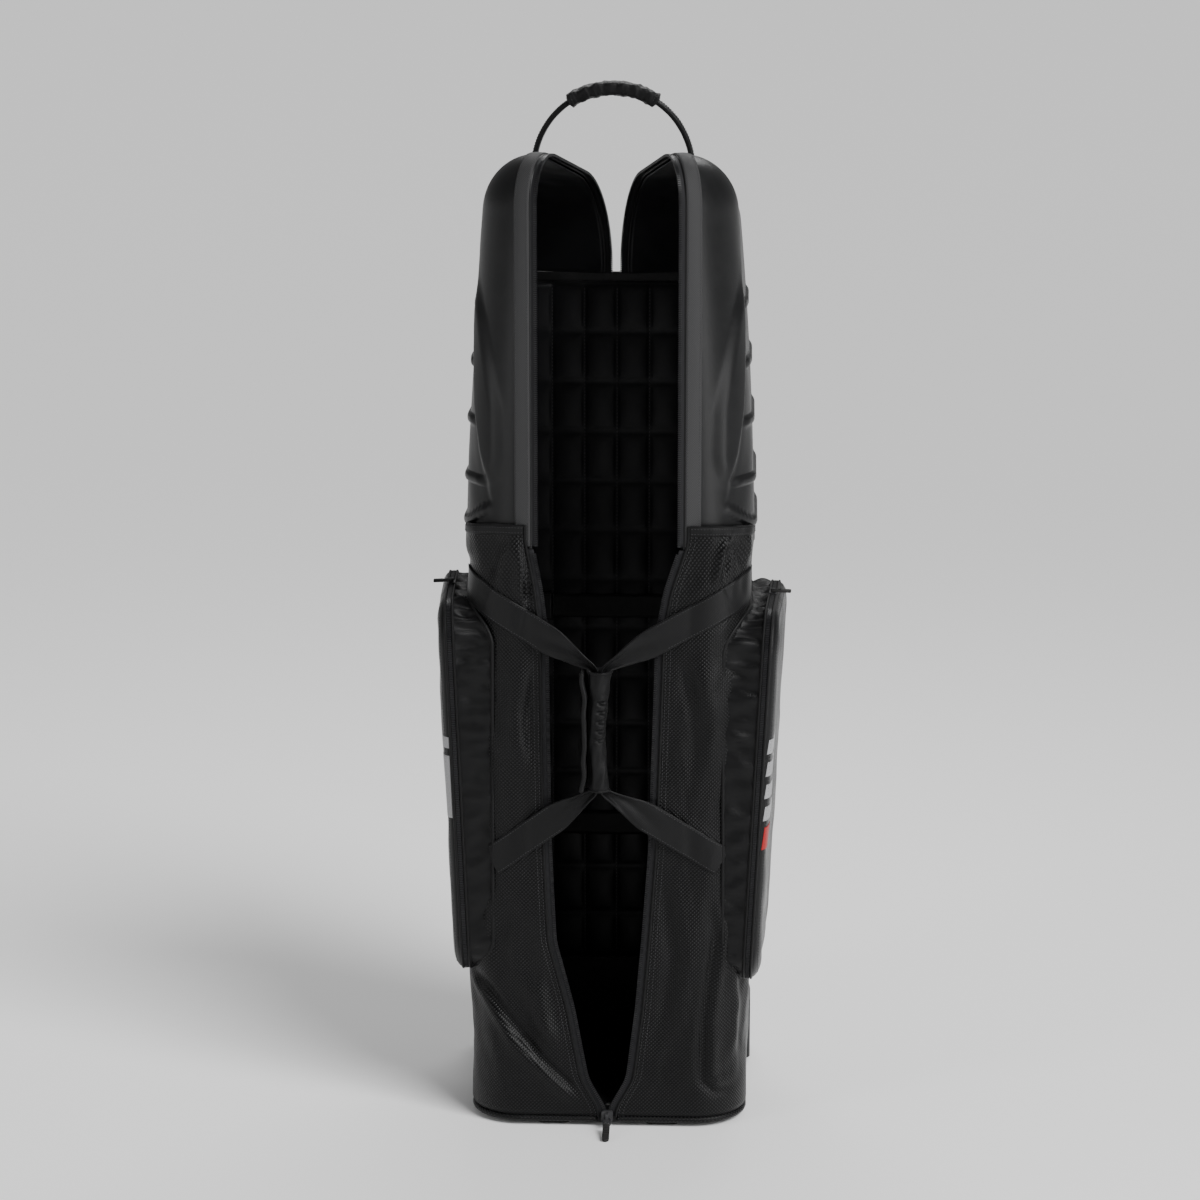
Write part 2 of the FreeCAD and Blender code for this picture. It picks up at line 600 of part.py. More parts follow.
def hinge_piping():
    """The piped seams that the hard halves swing on, stitched to the board's edges."""
    tall = BOARD_TOP - SHELL_Z - 20
    cord = rod(2.6, (HINGE_X, HINGE_Y, SHELL_Z + 6), (0, 0, 1), tall)
    flange = box(BOARD_HALF + 0.1, HINGE_X, HINGE_Y - 0.8, HINGE_Y + 0.8, SHELL_Z + 6, SHELL_Z + 6 + tall)
    seam = cord.fuse(flange).removeSplitter()
    return Part.makeCompound([mirrored(seam, side) for side in SIDES])


# ---- bail handle --------------------------------------------------------------------------
def bow(radius_out, radius_in, wide, from_deg, to_deg):
    """Part of the handle's half ring, about the Y direction."""
    centre = Vector(HANDLE_SHIFT, HANDLE_Y - wide / 2, HANDLE_Z)
    ring = Part.makeCylinder(radius_out, wide, centre, Vector(0, 1, 0)).cut(
        Part.makeCylinder(radius_in, wide, centre, Vector(0, 1, 0)))
    sector = [(centre.x, 0, centre.z)]
    steps = 8
    for k in range(steps + 1):
        a = radians(from_deg + (to_deg - from_deg) * k / steps)
        sector.append((centre.x + 260 * cos(a), 0, centre.z + 260 * sin(a)))
    wedge = face([(x, HANDLE_Y - wide, z) for x, y, z in sector]).extrude(Vector(0, 2 * wide, 0))
    return ring.common(wedge)


def handle_web():
    half = WEB_THICK / 2
    web = bow(HANDLE_R + half, HANDLE_R - half, WEB_WIDE, 0, 180)
    for side in SIDES:
        x = HANDLE_SHIFT + SIDES[side] * HANDLE_R
        leg = box(x - half, x + half, HANDLE_Y - WEB_WIDE / 2, HANDLE_Y + WEB_WIDE / 2,
                  HANDLE_PIVOT_Z + 14, HANDLE_Z + 0.01)
        web = web.fuse(leg)
    return web.removeSplitter()


def handle_grip():
    wrap = bow(HANDLE_R + 9, HANDLE_R - 7, 34, 56, 124)
    core = bow(HANDLE_R + WEB_THICK / 2 + 0.1, HANDLE_R - WEB_THICK / 2 - 0.1, WEB_WIDE + 0.2, 50, 130)
    return wrap.cut(core)


def handle_end_caps():
    """Moulded ends that clamp the webbing and turn on the bracket pins."""
    caps = []
    for side in SIDES:
        x = HANDLE_SHIFT + SIDES[side] * HANDLE_R
        cap = box(x - CAP_HALF_X, x + CAP_HALF_X, HANDLE_Y - CAP_HALF_Y, HANDLE_Y + CAP_HALF_Y,
                  HANDLE_PIVOT_Z - CAP_LOW, HANDLE_PIVOT_Z + CAP_HIGH)
        cap = cap.makeFillet(12, [e for e in cap.Edges if e.BoundBox.XLength > 11])
        half_x, half_y = WEB_THICK / 2 + 0.1, WEB_WIDE / 2 + 0.2
        cap = cap.cut(box(x - half_x, x + half_x, HANDLE_Y - half_y, HANDLE_Y + half_y,
                          HANDLE_PIVOT_Z + 13.8, HANDLE_PIVOT_Z + CAP_HIGH + 6))
        caps.append(cap.cut(rod(4.05, (x - 10, HANDLE_Y, HANDLE_PIVOT_Z), (1, 0, 0), 20)))
    return Part.makeCompound(caps)


def handle_bracket(side):
    """A plate riveted to the board, with an upright cheek and a pin for the handle's end."""
    s = SIDES[side]
    x = HANDLE_SHIFT + s * HANDLE_R
    low, top = HANDLE_PIVOT_Z - 34, HANDLE_PIVOT_Z + 14
    outside = x + s * 7
    plate = box(x - s * 12, x + s * 30, BACK_Y + GAP, BACK_Y + 3.6, low, top)
    cheek = box(outside, outside + s * 6, BACK_Y + GAP, HANDLE_Y + 9,
                HANDLE_PIVOT_Z - 11, HANDLE_PIVOT_Z + 11)
    ends = [e for e in cheek.Edges if e.BoundBox.YMin > HANDLE_Y + 8 and e.BoundBox.XLength > 1]
    cheek = cheek.makeFillet(7, ends)
    pin = rod(4.0, (outside + s * 1, HANDLE_Y, HANDLE_PIVOT_Z), (-s, 0, 0), 13)
    bracket = plate.fuse(cheek).fuse(pin)
    for dx, dz in BRACKET_RIVETS:
        bracket = bracket.cut(rod(2.1, (x + s * dx, BACK_Y - 1, HANDLE_PIVOT_Z + dz), (0, 1, 0), 10))
    return bracket.removeSplitter()


def bracket_rivets():
    rivets = []
    for side in SIDES:
        x = HANDLE_SHIFT + SIDES[side] * HANDLE_R
        for dx, dz in BRACKET_RIVETS:
            start = (x + SIDES[side] * dx, BACK_Y + GAP, HANDLE_PIVOT_Z + dz)
            shank = rod(2.0, start, (0, 1, 0), 4)
            head = rod(4.2, (start[0], BACK_Y + 3.62, start[2]), (0, 1, 0), 1.8)
            head = head.makeFillet(1.2, [e for e in head.Edges if e.BoundBox.YMin > BACK_Y + 5])
            rivets.append(shank.fuse(head).removeSplitter())
    return Part.makeCompound(rivets)


# ---- inner tie-down straps ----------------------------------------------------------------
def tie_straps():
    """Two webbing straps sewn across the back pad, lying open against it."""
    y = BACK_Y - BOARD_THICK - PAD_THICK
    return Part.makeCompound([
        box(-TIE_HALF_X, TIE_HALF_X, y - TIE_THICK, y - GAP, z - TIE_HALF_Z, z + TIE_HALF_Z)
        for z in TIE_Z])


def buckle_half(x, z, s):
    """One half of a side-release buckle, lying on the end of its strap."""
    block = box(x, x + s * BUCKLE_LONG, BUCKLE_Y - BUCKLE_DEEP, BUCKLE_Y,
                z - BUCKLE_HALF, z + BUCKLE_HALF)
    front = [e for e in block.Edges if e.BoundBox.YMax < BUCKLE_Y - BUCKLE_DEEP + 1]
    return block.makeFillet(3, front)


def buckle_sockets():
    return Part.makeCompound([buckle_half(SOCKET_X, z, -1) for z in TIE_Z])


def buckle_plugs():
    halves = []
    for z in TIE_Z:
        plug = buckle_half(PLUG_X, z, 1)
        prongs = [box(PLUG_X - 24, PLUG_X + 1, BUCKLE_Y - 6, BUCKLE_Y - 3, z + dz - 2.5, z + dz + 2.5)
                  for dz in (-12, 0, 12)]
        halves.append(plug.fuse(prongs).removeSplitter())
    return Part.makeCompound(halves)


# ---- write every node ---------------------------------------------------------------------
export("base_tray", base_tray())
export("front_feet", front_feet())
export("floor_board", floor_board())
export("floor_rivets", floor_rivets())
export("back_board", back_board())
export("back_pad", back_pad())
export("skid_rails", skid_rails())
export("rail_screws", rail_screws())
export("carry_grip", carry_grip())
export("main_slider", main_slider())
export("main_pull", main_pull())
export("handle_web", handle_web())
export("handle_grip", handle_grip())
export("handle_end_caps", handle_end_caps())
export("handle_brackets", Part.makeCompound([handle_bracket(SIDE) for SIDE in SIDES]))
export("bracket_rivets", bracket_rivets())
export("hinge_piping", hinge_piping())
export("wheel_axles", wheel_axles())
export("tie_straps", tie_straps())
export("buckle_sockets", buckle_sockets())
export("buckle_plugs", buckle_plugs())
for SIDE in SIDES:
    export(f"wheel_housing_{SIDE}", mirrored(wheel_housing(), SIDE))
    export(f"wheel_tyre_{SIDE}", mirrored(wheel_tyre(), SIDE))
    export(f"wheel_hub_{SIDE}", mirrored(wheel_hub(), SIDE))
    export(f"wheel_bearings_{SIDE}", mirrored(wheel_bearings(), SIDE))
    export(f"cloth_wall_{SIDE}", cloth_wall(SIDE))
    export(f"cloth_collar_{SIDE}", cloth_collar(SIDE))
    export(f"lower_zip_{SIDE}", zip_strip(SIDE))
    export(f"pocket_gusset_{SIDE}", pocket_gusset(SIDE))
    export(f"pocket_zip_{SIDE}", pocket_zip(SIDE))
    export(f"pocket_door_{SIDE}", pocket_door(SIDE))
    export(f"pocket_slider_{SIDE}", pocket_slider(SIDE))
    export(f"pocket_pull_{SIDE}", pocket_pull(SIDE))
    export(f"carry_web_{SIDE}", carry_web(SIDE))
    export(f"hard_shell_{SIDE}", shell(SIDE))
    export(f"shell_lining_{SIDE}", lining(SIDE))
    export(f"shell_band_{SIDE}", shell_band(SIDE))
    export(f"upper_zip_{SIDE}", upper_zip(SIDE))

ALL = BOXES[0]
for b in BOXES[1:]:
    ALL.add(b)
print(f"box x {ALL.XMin:.2f} {ALL.XMax:.2f}  y {ALL.YMin:.2f} {ALL.YMax:.2f}  "
      f"z {ALL.ZMin:.2f} {ALL.ZMax:.2f}")
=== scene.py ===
"""Golf travel case, standing open: a hard top in two halves over a padded cloth body on wheels.

The sections follow the case as it is put together: light and floor, hard top, cloth body, side
pockets, carry handle, bail handle, base and wheels, inside fittings, and the main zip's slider.
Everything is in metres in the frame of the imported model, with the front towards -Y.
"""
import json
import math

import bmesh
import bpy
import numpy as np
from mathutils import Matrix, Vector


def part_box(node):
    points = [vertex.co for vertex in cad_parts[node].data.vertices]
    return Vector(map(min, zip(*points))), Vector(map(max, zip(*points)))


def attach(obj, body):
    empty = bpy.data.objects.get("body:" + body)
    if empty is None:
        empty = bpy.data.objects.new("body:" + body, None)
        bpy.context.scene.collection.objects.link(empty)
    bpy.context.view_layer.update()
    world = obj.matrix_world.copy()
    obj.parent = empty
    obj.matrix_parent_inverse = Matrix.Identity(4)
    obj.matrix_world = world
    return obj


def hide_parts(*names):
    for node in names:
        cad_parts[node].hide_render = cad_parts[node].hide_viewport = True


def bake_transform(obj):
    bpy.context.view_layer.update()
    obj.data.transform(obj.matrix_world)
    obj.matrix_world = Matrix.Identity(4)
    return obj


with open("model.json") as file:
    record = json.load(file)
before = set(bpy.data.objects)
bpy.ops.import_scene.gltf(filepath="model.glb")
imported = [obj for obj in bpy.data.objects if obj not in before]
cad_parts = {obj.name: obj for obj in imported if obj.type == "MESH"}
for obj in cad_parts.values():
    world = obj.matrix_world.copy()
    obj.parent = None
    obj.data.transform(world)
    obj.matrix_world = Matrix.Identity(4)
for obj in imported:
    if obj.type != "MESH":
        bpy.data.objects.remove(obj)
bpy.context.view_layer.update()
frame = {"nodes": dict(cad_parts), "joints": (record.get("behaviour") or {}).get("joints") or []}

# ---- Camera, light and floor -------------------------------------------------------------------
# A long lens from the front, a little above and to the right, over a plain white floor. A soft sun
# comes over the right shoulder, a lamp fills in from each side and a strip picks out the crown.
AIM = Vector((-0.0168, 0.0123, 0.6791))
AZIMUTH, ELEVATION, DISTANCE = math.radians(2.5), math.radians(12.0), 4.5

towards_camera = Vector((math.sin(AZIMUTH) * math.cos(ELEVATION),
                         -math.cos(AZIMUTH) * math.cos(ELEVATION), math.sin(ELEVATION)))
camera = bpy.data.objects.new("camera", bpy.data.cameras.new("camera"))
bpy.context.scene.collection.objects.link(camera)
camera.data.lens, camera.data.sensor_width = 101.18, 36.0       # millimetres
camera.location = AIM + towards_camera * DISTANCE
camera.rotation_euler = towards_camera.to_track_quat("Z", "Y").to_euler()
bpy.context.scene.camera = camera

sun = bpy.data.objects.new("sun", bpy.data.lights.new("sun", "SUN"))
bpy.context.scene.collection.objects.link(sun)
sun.data.energy, sun.data.angle = 3.4, math.radians(28)         # a wide angle keeps its shadow soft
sun.rotation_euler = Vector((0.62, -0.60, 0.85)).to_track_quat("Z", "Y").to_euler()
LAMPS_AIM_AT = Vector((0, 0, 0.75))
# each lamp's place, width, height and power in watts
for lamp_name, place, width, height, power in (("right_lamp", (1.9, -1.5, 1.0), 0.5, 1.6, 26.0),
                                               ("left_lamp", (-2.4, -1.9, 1.3), 0.7, 1.8, 19.0),
                                               ("crown_lamp", (0.2, 1.5, 2.6), 1.6, 0.8, 30.0)):
    lamp = bpy.data.objects.new(lamp_name, bpy.data.lights.new(lamp_name, "AREA"))
    bpy.context.scene.collection.objects.link(lamp)
    lamp.data.shape, lamp.data.size, lamp.data.size_y = "RECTANGLE", width, height
    lamp.data.energy, lamp.location = power, place
    lamp.rotation_euler = (Vector(place) - LAMPS_AIM_AT).to_track_quat("Z", "Y").to_euler()

world = bpy.data.worlds.new("studio")
bpy.context.scene.world = world
world.use_nodes = True
room = world.node_tree.nodes["Background"]
room.label, room.location = "white room", (0, 0)
room.inputs["Color"].default_value = (1.0, 1.0, 1.0, 1.0)
seen = world.node_tree.nodes.new("ShaderNodeLightPath")
seen.label, seen.location = "what looks at the room", (-420, 0)
brightness = world.node_tree.nodes.new("ShaderNodeMapRange")
brightness.label, brightness.location = "dim for light, bright for the eye", (-210, 0)
brightness.inputs["To Min"].default_value = 0.22
brightness.inputs["To Max"].default_value = 3.6
world.node_tree.links.new(seen.outputs["Is Camera Ray"], brightness.inputs["Value"])
world.node_tree.links.new(brightness.outputs["Result"], room.inputs["Strength"])

floor_form = bmesh.new()
bmesh.ops.create_grid(floor_form, x_segments=1, y_segments=1, size=60)
floor_mesh = bpy.data.meshes.new("floor")
floor_form.to_mesh(floor_mesh)
floor_form.free()
floor = bpy.data.objects.new("floor", floor_mesh)
bpy.context.scene.collection.objects.link(floor)
floor_paint = bpy.data.materials.new("floor_paint")
floor_paint.use_nodes = True
matt_white = floor_paint.node_tree.nodes["Principled BSDF"]
matt_white.label = "matt white paint"
matt_white.inputs["Base Color"].default_value = (0.93, 0.93, 0.93, 1)
matt_white.inputs["Roughness"].default_value = 0.8
floor.data.materials.append(floor_paint)

# ---- Hard top ----------------------------------------------------------------------------------
# Two thermoformed halves that open like a book on piped seams beside the back board. Each has a
# raised almond-shaped panel round its front corner and five stiffening ribs across its side.
joints = {joint["name"]: joint for joint in frame["joints"]}
board_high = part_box("back_board")[1]
hinge_x, hinge_y = joints["right_top_hinge"]["pos_m"][:2]
SPREAD = math.radians(16.2)             # how far each half stands open
TOP_FRONT, TOP_BACK = -0.1257, board_high.y
TOP_MIDDLE = 0.035                      # the depth that the sides' columns end at
TOP_LOW, TOP_SPLIT = 0.778, board_high.z + 0.002
CROWN, CROWN_SLOPE = 1.296, 0.25        # height at the front face, and its fall towards the back
FRONT_ROUND, BACK_ROUND = 0.076, 0.105  # the crown's front and back edges
SIDE_ROUND, SIDE_ROUND_BACK = 0.068, 0.022
SWELL, SIDE_HEIGHT = 0.0035, 0.41
LEAN = math.radians(3.3)
SIDE_X, SIDE_Z = 0.188, 0.792           # one point of the side, with the half open
BOARD_EDGE = hinge_x + 0.0045           # below the split the shut half covers only what lies beyond
RIBS = (0.804, 0.862, 0.937, 1.011, 1.085)
RIB_HALF, RIB_RISE, PANEL_RISE_TOP, CHANNEL_DEPTH = 0.0068, 0.0042, 0.0052, 0.0022


def step(value, low, high):
    """0 below low, 1 above high, and a smooth rise between."""
    share = np.clip((value - low) / (high - low), 0, 1)
    return share * share * (3 - 2 * share)


def rounded_join(first, second, radius):
    """Distance to the form where two surfaces meet with a rounded edge."""
    over = np.hypot(np.maximum(first + radius, 0), np.maximum(second + radius, 0))
    return np.minimum(np.maximum(first, second), -radius) + over


def spread(*parts):
    """Coordinates from their separate parts, stretched to one shape."""
    return np.stack(np.broadcast_arrays(*parts), axis=-1)


def facing(way, points):
    """One direction given to every point."""
    return np.broadcast_to(np.array(way, float), points.shape)


def run_along(path):
    """The length along a path at each of its points."""
    return np.concatenate([[0], np.cumsum(np.linalg.norm(np.diff(path, axis=0), axis=1))])


SIDE_NORMAL = (math.cos(LEAN) * math.cos(SPREAD), -math.cos(LEAN) * math.sin(SPREAD), math.sin(LEAN))
SIDE_POINT = (hinge_x + (SIDE_X - hinge_x) * math.cos(SPREAD),
              hinge_y - (SIDE_X - hinge_x) * math.sin(SPREAD), SIDE_Z)


def side_reach(y, z):
    """How far out the side stands in the shut half, with a slight swell half way up."""
    swell = SWELL * np.sin(np.pi * np.clip((z - SIDE_Z) / SIDE_HEIGHT, 0, 1))
    flat = SIDE_NORMAL[1] * (y - SIDE_POINT[1]) + SIDE_NORMAL[2] * (z - SIDE_POINT[2])
    return SIDE_POINT[0] + (swell - flat) / SIDE_NORMAL[0]


def top_distance(x, y, z):
    """Signed distance to the shut half's outer face."""
    crown = (z - CROWN + CROWN_SLOPE * (y - TOP_FRONT)) / math.hypot(1, CROWN_SLOPE)
    outline = rounded_join(rounded_join(TOP_FRONT - y, crown, FRONT_ROUND), y - TOP_BACK, BACK_ROUND)
    side = (x - side_reach(y, z)) * SIDE_NORMAL[0]
    radius = SIDE_ROUND + (SIDE_ROUND_BACK - SIDE_ROUND) * step(y, 0.07, 0.15)
    return rounded_join(outline, side, radius)


def hard_top(levels, arc, widths, shares, lift=0.0):
    """Points, normals and (along, across) lengths on the shut right half.

    Rows run up the front at the given levels, over the crown and down the back again. Columns
    start at the zip edge, at the given widths, and end on a line up the middle of the side.
    """
    spine = np.concatenate([levels, np.full(arc, TOP_SPLIT), levels[::-1]])
    angle = np.concatenate([np.full(len(levels), np.pi), np.linspace(np.pi, 0, arc),
                            np.zeros(len(levels))])
    out_y, out_z = np.cos(angle), np.sin(angle)
    with np.errstate(divide="ignore"):
        to_front = np.where(out_y < -1e-6, (TOP_FRONT - TOP_MIDDLE) / out_y, np.inf)
        to_back = np.where(out_y > 1e-6, (TOP_BACK - TOP_MIDDLE) / out_y, np.inf)
        rise = out_z + CROWN_SLOPE * out_y
        to_crown = np.where(rise > 1e-6,
                            (CROWN - spine - CROWN_SLOPE * (TOP_MIDDLE - TOP_FRONT)) / rise, np.inf)
    reach = np.minimum(np.minimum(to_front, to_back), to_crown)
    wide = side_reach(TOP_MIDDLE + reach * out_y, spine + reach * out_z)
    edge = np.minimum(BOARD_EDGE, wide + reach)
    across = np.concatenate([np.broadcast_to(widths, (len(spine), len(widths))),
                             edge[:, None] + (wide + reach - edge)[:, None] * shares], axis=1)
    behind = (np.arange(len(spine)) >= len(levels) + arc)[:, None]
    across = np.where(behind, np.maximum(across, BOARD_EDGE), across)
    aim_x = np.minimum(across, wide[:, None])
    slant = step(across, 0.2 * wide[:, None], wide[:, None])
    aim_out = reach[:, None] - np.maximum(across - wide[:, None], 0)
    near, far = np.full(across.shape, 0.2), np.full(across.shape, 2.6)

    def place(share):
        """Where each column stands; near the zip edge it keeps its width."""
        return ((1 + (share - 1) * slant) * aim_x, TOP_MIDDLE + share * aim_out * out_y[:, None],
                spine[:, None] + share * aim_out * out_z[:, None])

    for _ in range(30):
        half = (near + far) / 2
        inside = top_distance(*place(half)) < 0
        near, far = np.where(inside, half, near), np.where(inside, far, half)
    x, y, z = place(near)
    tiny = 1e-4
    normal = spread(top_distance(x + tiny, y, z) - top_distance(x - tiny, y, z),
                    top_distance(x, y + tiny, z) - top_distance(x, y - tiny, z),
                    top_distance(x, y, z + tiny) - top_distance(x, y, z - tiny))
    normal /= np.linalg.norm(normal, axis=-1, keepdims=True)
    points = spread(x, y, z)
    along = np.zeros(across.shape)
    along[1:] = np.cumsum(np.linalg.norm(np.diff(points[:, :1], axis=0), axis=-1), axis=0)
    beside = np.zeros(across.shape)
    beside[:, 1:] = np.cumsum(np.linalg.norm(np.diff(points, axis=1), axis=-1), axis=1)
    return points + normal * lift, normal, spread(along, beside)


def opened(points, side):
    """Swings a shut right half open about its hinge and puts it on its side of the case."""
    turned = points.copy()
    x, y = points[..., 0] - hinge_x, points[..., 1] - hinge_y
    turned[..., 0] = (hinge_x + x * math.cos(SPREAD) - y * math.sin(SPREAD)) * side
    turned[..., 1] = hinge_y + x * math.sin(SPREAD) + y * math.cos(SPREAD)
    return turned


def outwards(points, normals, side):
    """Directions on the shut half, swung open with it."""
    return opened(points + normals, side) - opened(points, side)


def placed(name, form):
    """Makes a piece from a finished form and puts it in the scene."""
    mesh = bpy.data.meshes.new(name)
    form.to_mesh(mesh)
    form.free()
    piece = bpy.data.objects.new(name, mesh)
    bpy.context.scene.collection.objects.link(piece)
    return piece


def laid_grid(name, points, lengths, outward, drop=None, capped=False, merge=2e-5):
    """A grid of quads laid on an array of points, with its lengths as a UV map in metres.

    It is turned so that its faces look along outward. Where the grid closes on itself the seam is
    merged, and capped closes the open ends of a tube.
    """
    rows, columns = points.shape[:2]
    form = bmesh.new()
    uv = form.loops.layers.uv.new("lengths")
    bmesh.ops.create_grid(form, x_segments=columns - 1, y_segments=rows - 1, size=1)
    form.verts.ensure_lookup_table()
    for vertex, point in zip(form.verts, points.reshape(-1, 3)):
        vertex.co = point
    if lengths is not None:
        flat = lengths.reshape(-1, 2)
        for face in form.faces:
            for corner in face.loops:
                corner[uv].uv = flat[corner.vert.index]
    form.normal_update()
    flat_out = outward.reshape(-1, 3)
    agreement = sum(face.normal.dot(Vector(flat_out[face.verts[0].index])) * face.calc_area()
                    for face in form.faces)
    if drop is not None:
        form.faces.ensure_lookup_table()
        unwanted = [form.faces[index] for index in np.flatnonzero(drop.reshape(-1))]
        bmesh.ops.delete(form, geom=unwanted, context="FACES")
    bmesh.ops.remove_doubles(form, verts=form.verts, dist=merge)
    bmesh.ops.dissolve_degenerate(form, edges=form.edges, dist=1e-6)
    if capped:
        ends = [edge for edge in form.edges if edge.is_boundary]
        bmesh.ops.holes_fill(form, edges=ends, sides=0)
    if agreement < 0:
        bmesh.ops.reverse_faces(form, faces=form.faces)
    piece = placed(name, form)
    piece.data.shade_smooth()
    return piece


def walled(piece, thickness, offset=-1.0):
    """Gives a sheet its thickness, inwards unless said otherwise."""
    wall = piece.modifiers.new("thickness", "SOLIDIFY")
    wall.thickness, wall.offset = thickness, offset
    return piece


def woven(name, colour, pale, roughness, pitch, depth, sheen=0.03, mottle=0.35, diamond=True):
    """Woven goods: two crossing sets of threads on the piece's own lengths, with soft mottling.

    pitch is the width of one cell of the weave in metres, and pale the colour painted on its high threads: a
    painted highlight where they catch the light.
    """
    material = bpy.data.materials.new(name)
    material.use_nodes = True
    tree = material.node_tree
    nodes, links = tree.nodes, tree.links
    nodes.clear()
    output = nodes.new("ShaderNodeOutputMaterial")
    output.label, output.location = "surface", (900, 0)
    shader = nodes.new("ShaderNodeBsdfPrincipled")
    shader.label, shader.location = "dyed thread", (640, 0)
    shader.inputs["Sheen Weight"].default_value = sheen
    shader.inputs["Sheen Roughness"].default_value = 0.45
    shader.inputs["Specular IOR Level"].default_value = 0.15
    weave = nodes.new("NodeFrame")
    weave.label = "weave"
    wear = nodes.new("NodeFrame")
    wear.label = "mottling and handling marks"
    lengths = nodes.new("ShaderNodeUVMap")
    lengths.label, lengths.location, lengths.parent = "lengths along the cloth", (-900, 120), weave
    lengths.uv_map = "lengths"
    threads = []
    for set_name, turn, height in (("warp threads", 0.785 if diamond else 0.0, 220),
                                   ("weft threads", -0.785 if diamond else 1.571, -20)):
        turned = nodes.new("ShaderNodeMapping")
        turned.label, turned.location, turned.parent = "turn to the " + set_name, (-700, height), weave
        turned.inputs["Rotation"].default_value = (0, 0, turn)
        thread = nodes.new("ShaderNodeTexWave")
        thread.label, thread.location, thread.parent = set_name, (-500, height), weave
        thread.wave_type, thread.bands_direction, thread.wave_profile = "BANDS", "X", "SIN"
        thread.inputs["Scale"].default_value = math.pi / (10 * pitch)
        thread.inputs["Distortion"].default_value = 0.6
        thread.inputs["Detail"].default_value = 1.0
        thread.inputs["Detail Scale"].default_value = 2.0
        links.new(lengths.outputs["UV"], turned.inputs["Vector"])
        links.new(turned.outputs["Vector"], thread.inputs["Vector"])
        threads.append(thread)
    crossing = nodes.new("ShaderNodeMath")
    crossing.label, crossing.location, crossing.parent = "threads crossing", (-280, 100), weave
    crossing.operation = "MULTIPLY"
    links.new(threads[0].outputs["Fac"], crossing.inputs[0])
    links.new(threads[1].outputs["Fac"], crossing.inputs[1])
    place = nodes.new("ShaderNodeTexCoord")
    place.label, place.location, place.parent = "place on the case", (-900, -320), wear
    cloud = nodes.new("ShaderNodeTexNoise")
    cloud.label, cloud.location, cloud.parent = "soft mottling", (-680, -320), wear
    cloud.inputs["Scale"].default_value = 16.0
    cloud.inputs["Detail"].default_value = 6.0
    links.new(place.outputs["Object"], cloud.inputs["Vector"])
    tone = nodes.new("ShaderNodeMapRange")
    tone.label, tone.location, tone.parent = "how pale the threads look", (-280, -180), wear
    tone.inputs["From Min"].default_value = 0.3
    tone.inputs["From Max"].default_value = 0.7
    tone.inputs["To Min"].default_value = 1.0 - mottle
    tone.inputs["To Max"].default_value = 1.0
    links.new(cloud.outputs["Fac"], tone.inputs["Value"])
    shade = nodes.new("ShaderNodeMath")
    shade.label, shade.location, shade.parent = "high threads catch the light", (-60, 60), weave
    shade.operation = "MULTIPLY"
    links.new(crossing.outputs["Value"], shade.inputs[0])
    links.new(tone.outputs["Result"], shade.inputs[1])
    # painted highlight: the high threads are mixed towards the pale colour where they would catch the light
    mix = nodes.new("ShaderNodeMix")
    mix.label, mix.location, mix.parent = "thread colour with painted highlight", (160, 120), weave
    mix.data_type = "RGBA"
    mix.inputs["A"].default_value = (*colour, 1)
    mix.inputs["B"].default_value = (*pale, 1)
    links.new(shade.outputs["Value"], mix.inputs["Factor"])
    links.new(mix.outputs["Result"], shader.inputs["Base Color"])
    gloss = nodes.new("ShaderNodeMapRange")
    gloss.label, gloss.location, gloss.parent = "rubbed smoother in places", (160, -180), wear
    gloss.inputs["From Min"].default_value = 0.3
    gloss.inputs["From Max"].default_value = 0.7
    gloss.inputs["To Min"].default_value = roughness - 0.06
    gloss.inputs["To Max"].default_value = roughness + 0.06
    links.new(cloud.outputs["Fac"], gloss.inputs["Value"])
    links.new(gloss.outputs["Result"], shader.inputs["Roughness"])
    relief = nodes.new("ShaderNodeBump")
    relief.label, relief.location, relief.parent = "thread relief", (380, -260), weave
    relief.inputs["Strength"].default_value = 0.8
    relief.inputs["Distance"].default_value = depth
    links.new(crossing.outputs["Value"], relief.inputs["Height"])
    links.new(relief.outputs["Normal"], shader.inputs["Normal"])
    links.new(shader.outputs["BSDF"], output.inputs["Surface"])
    return material


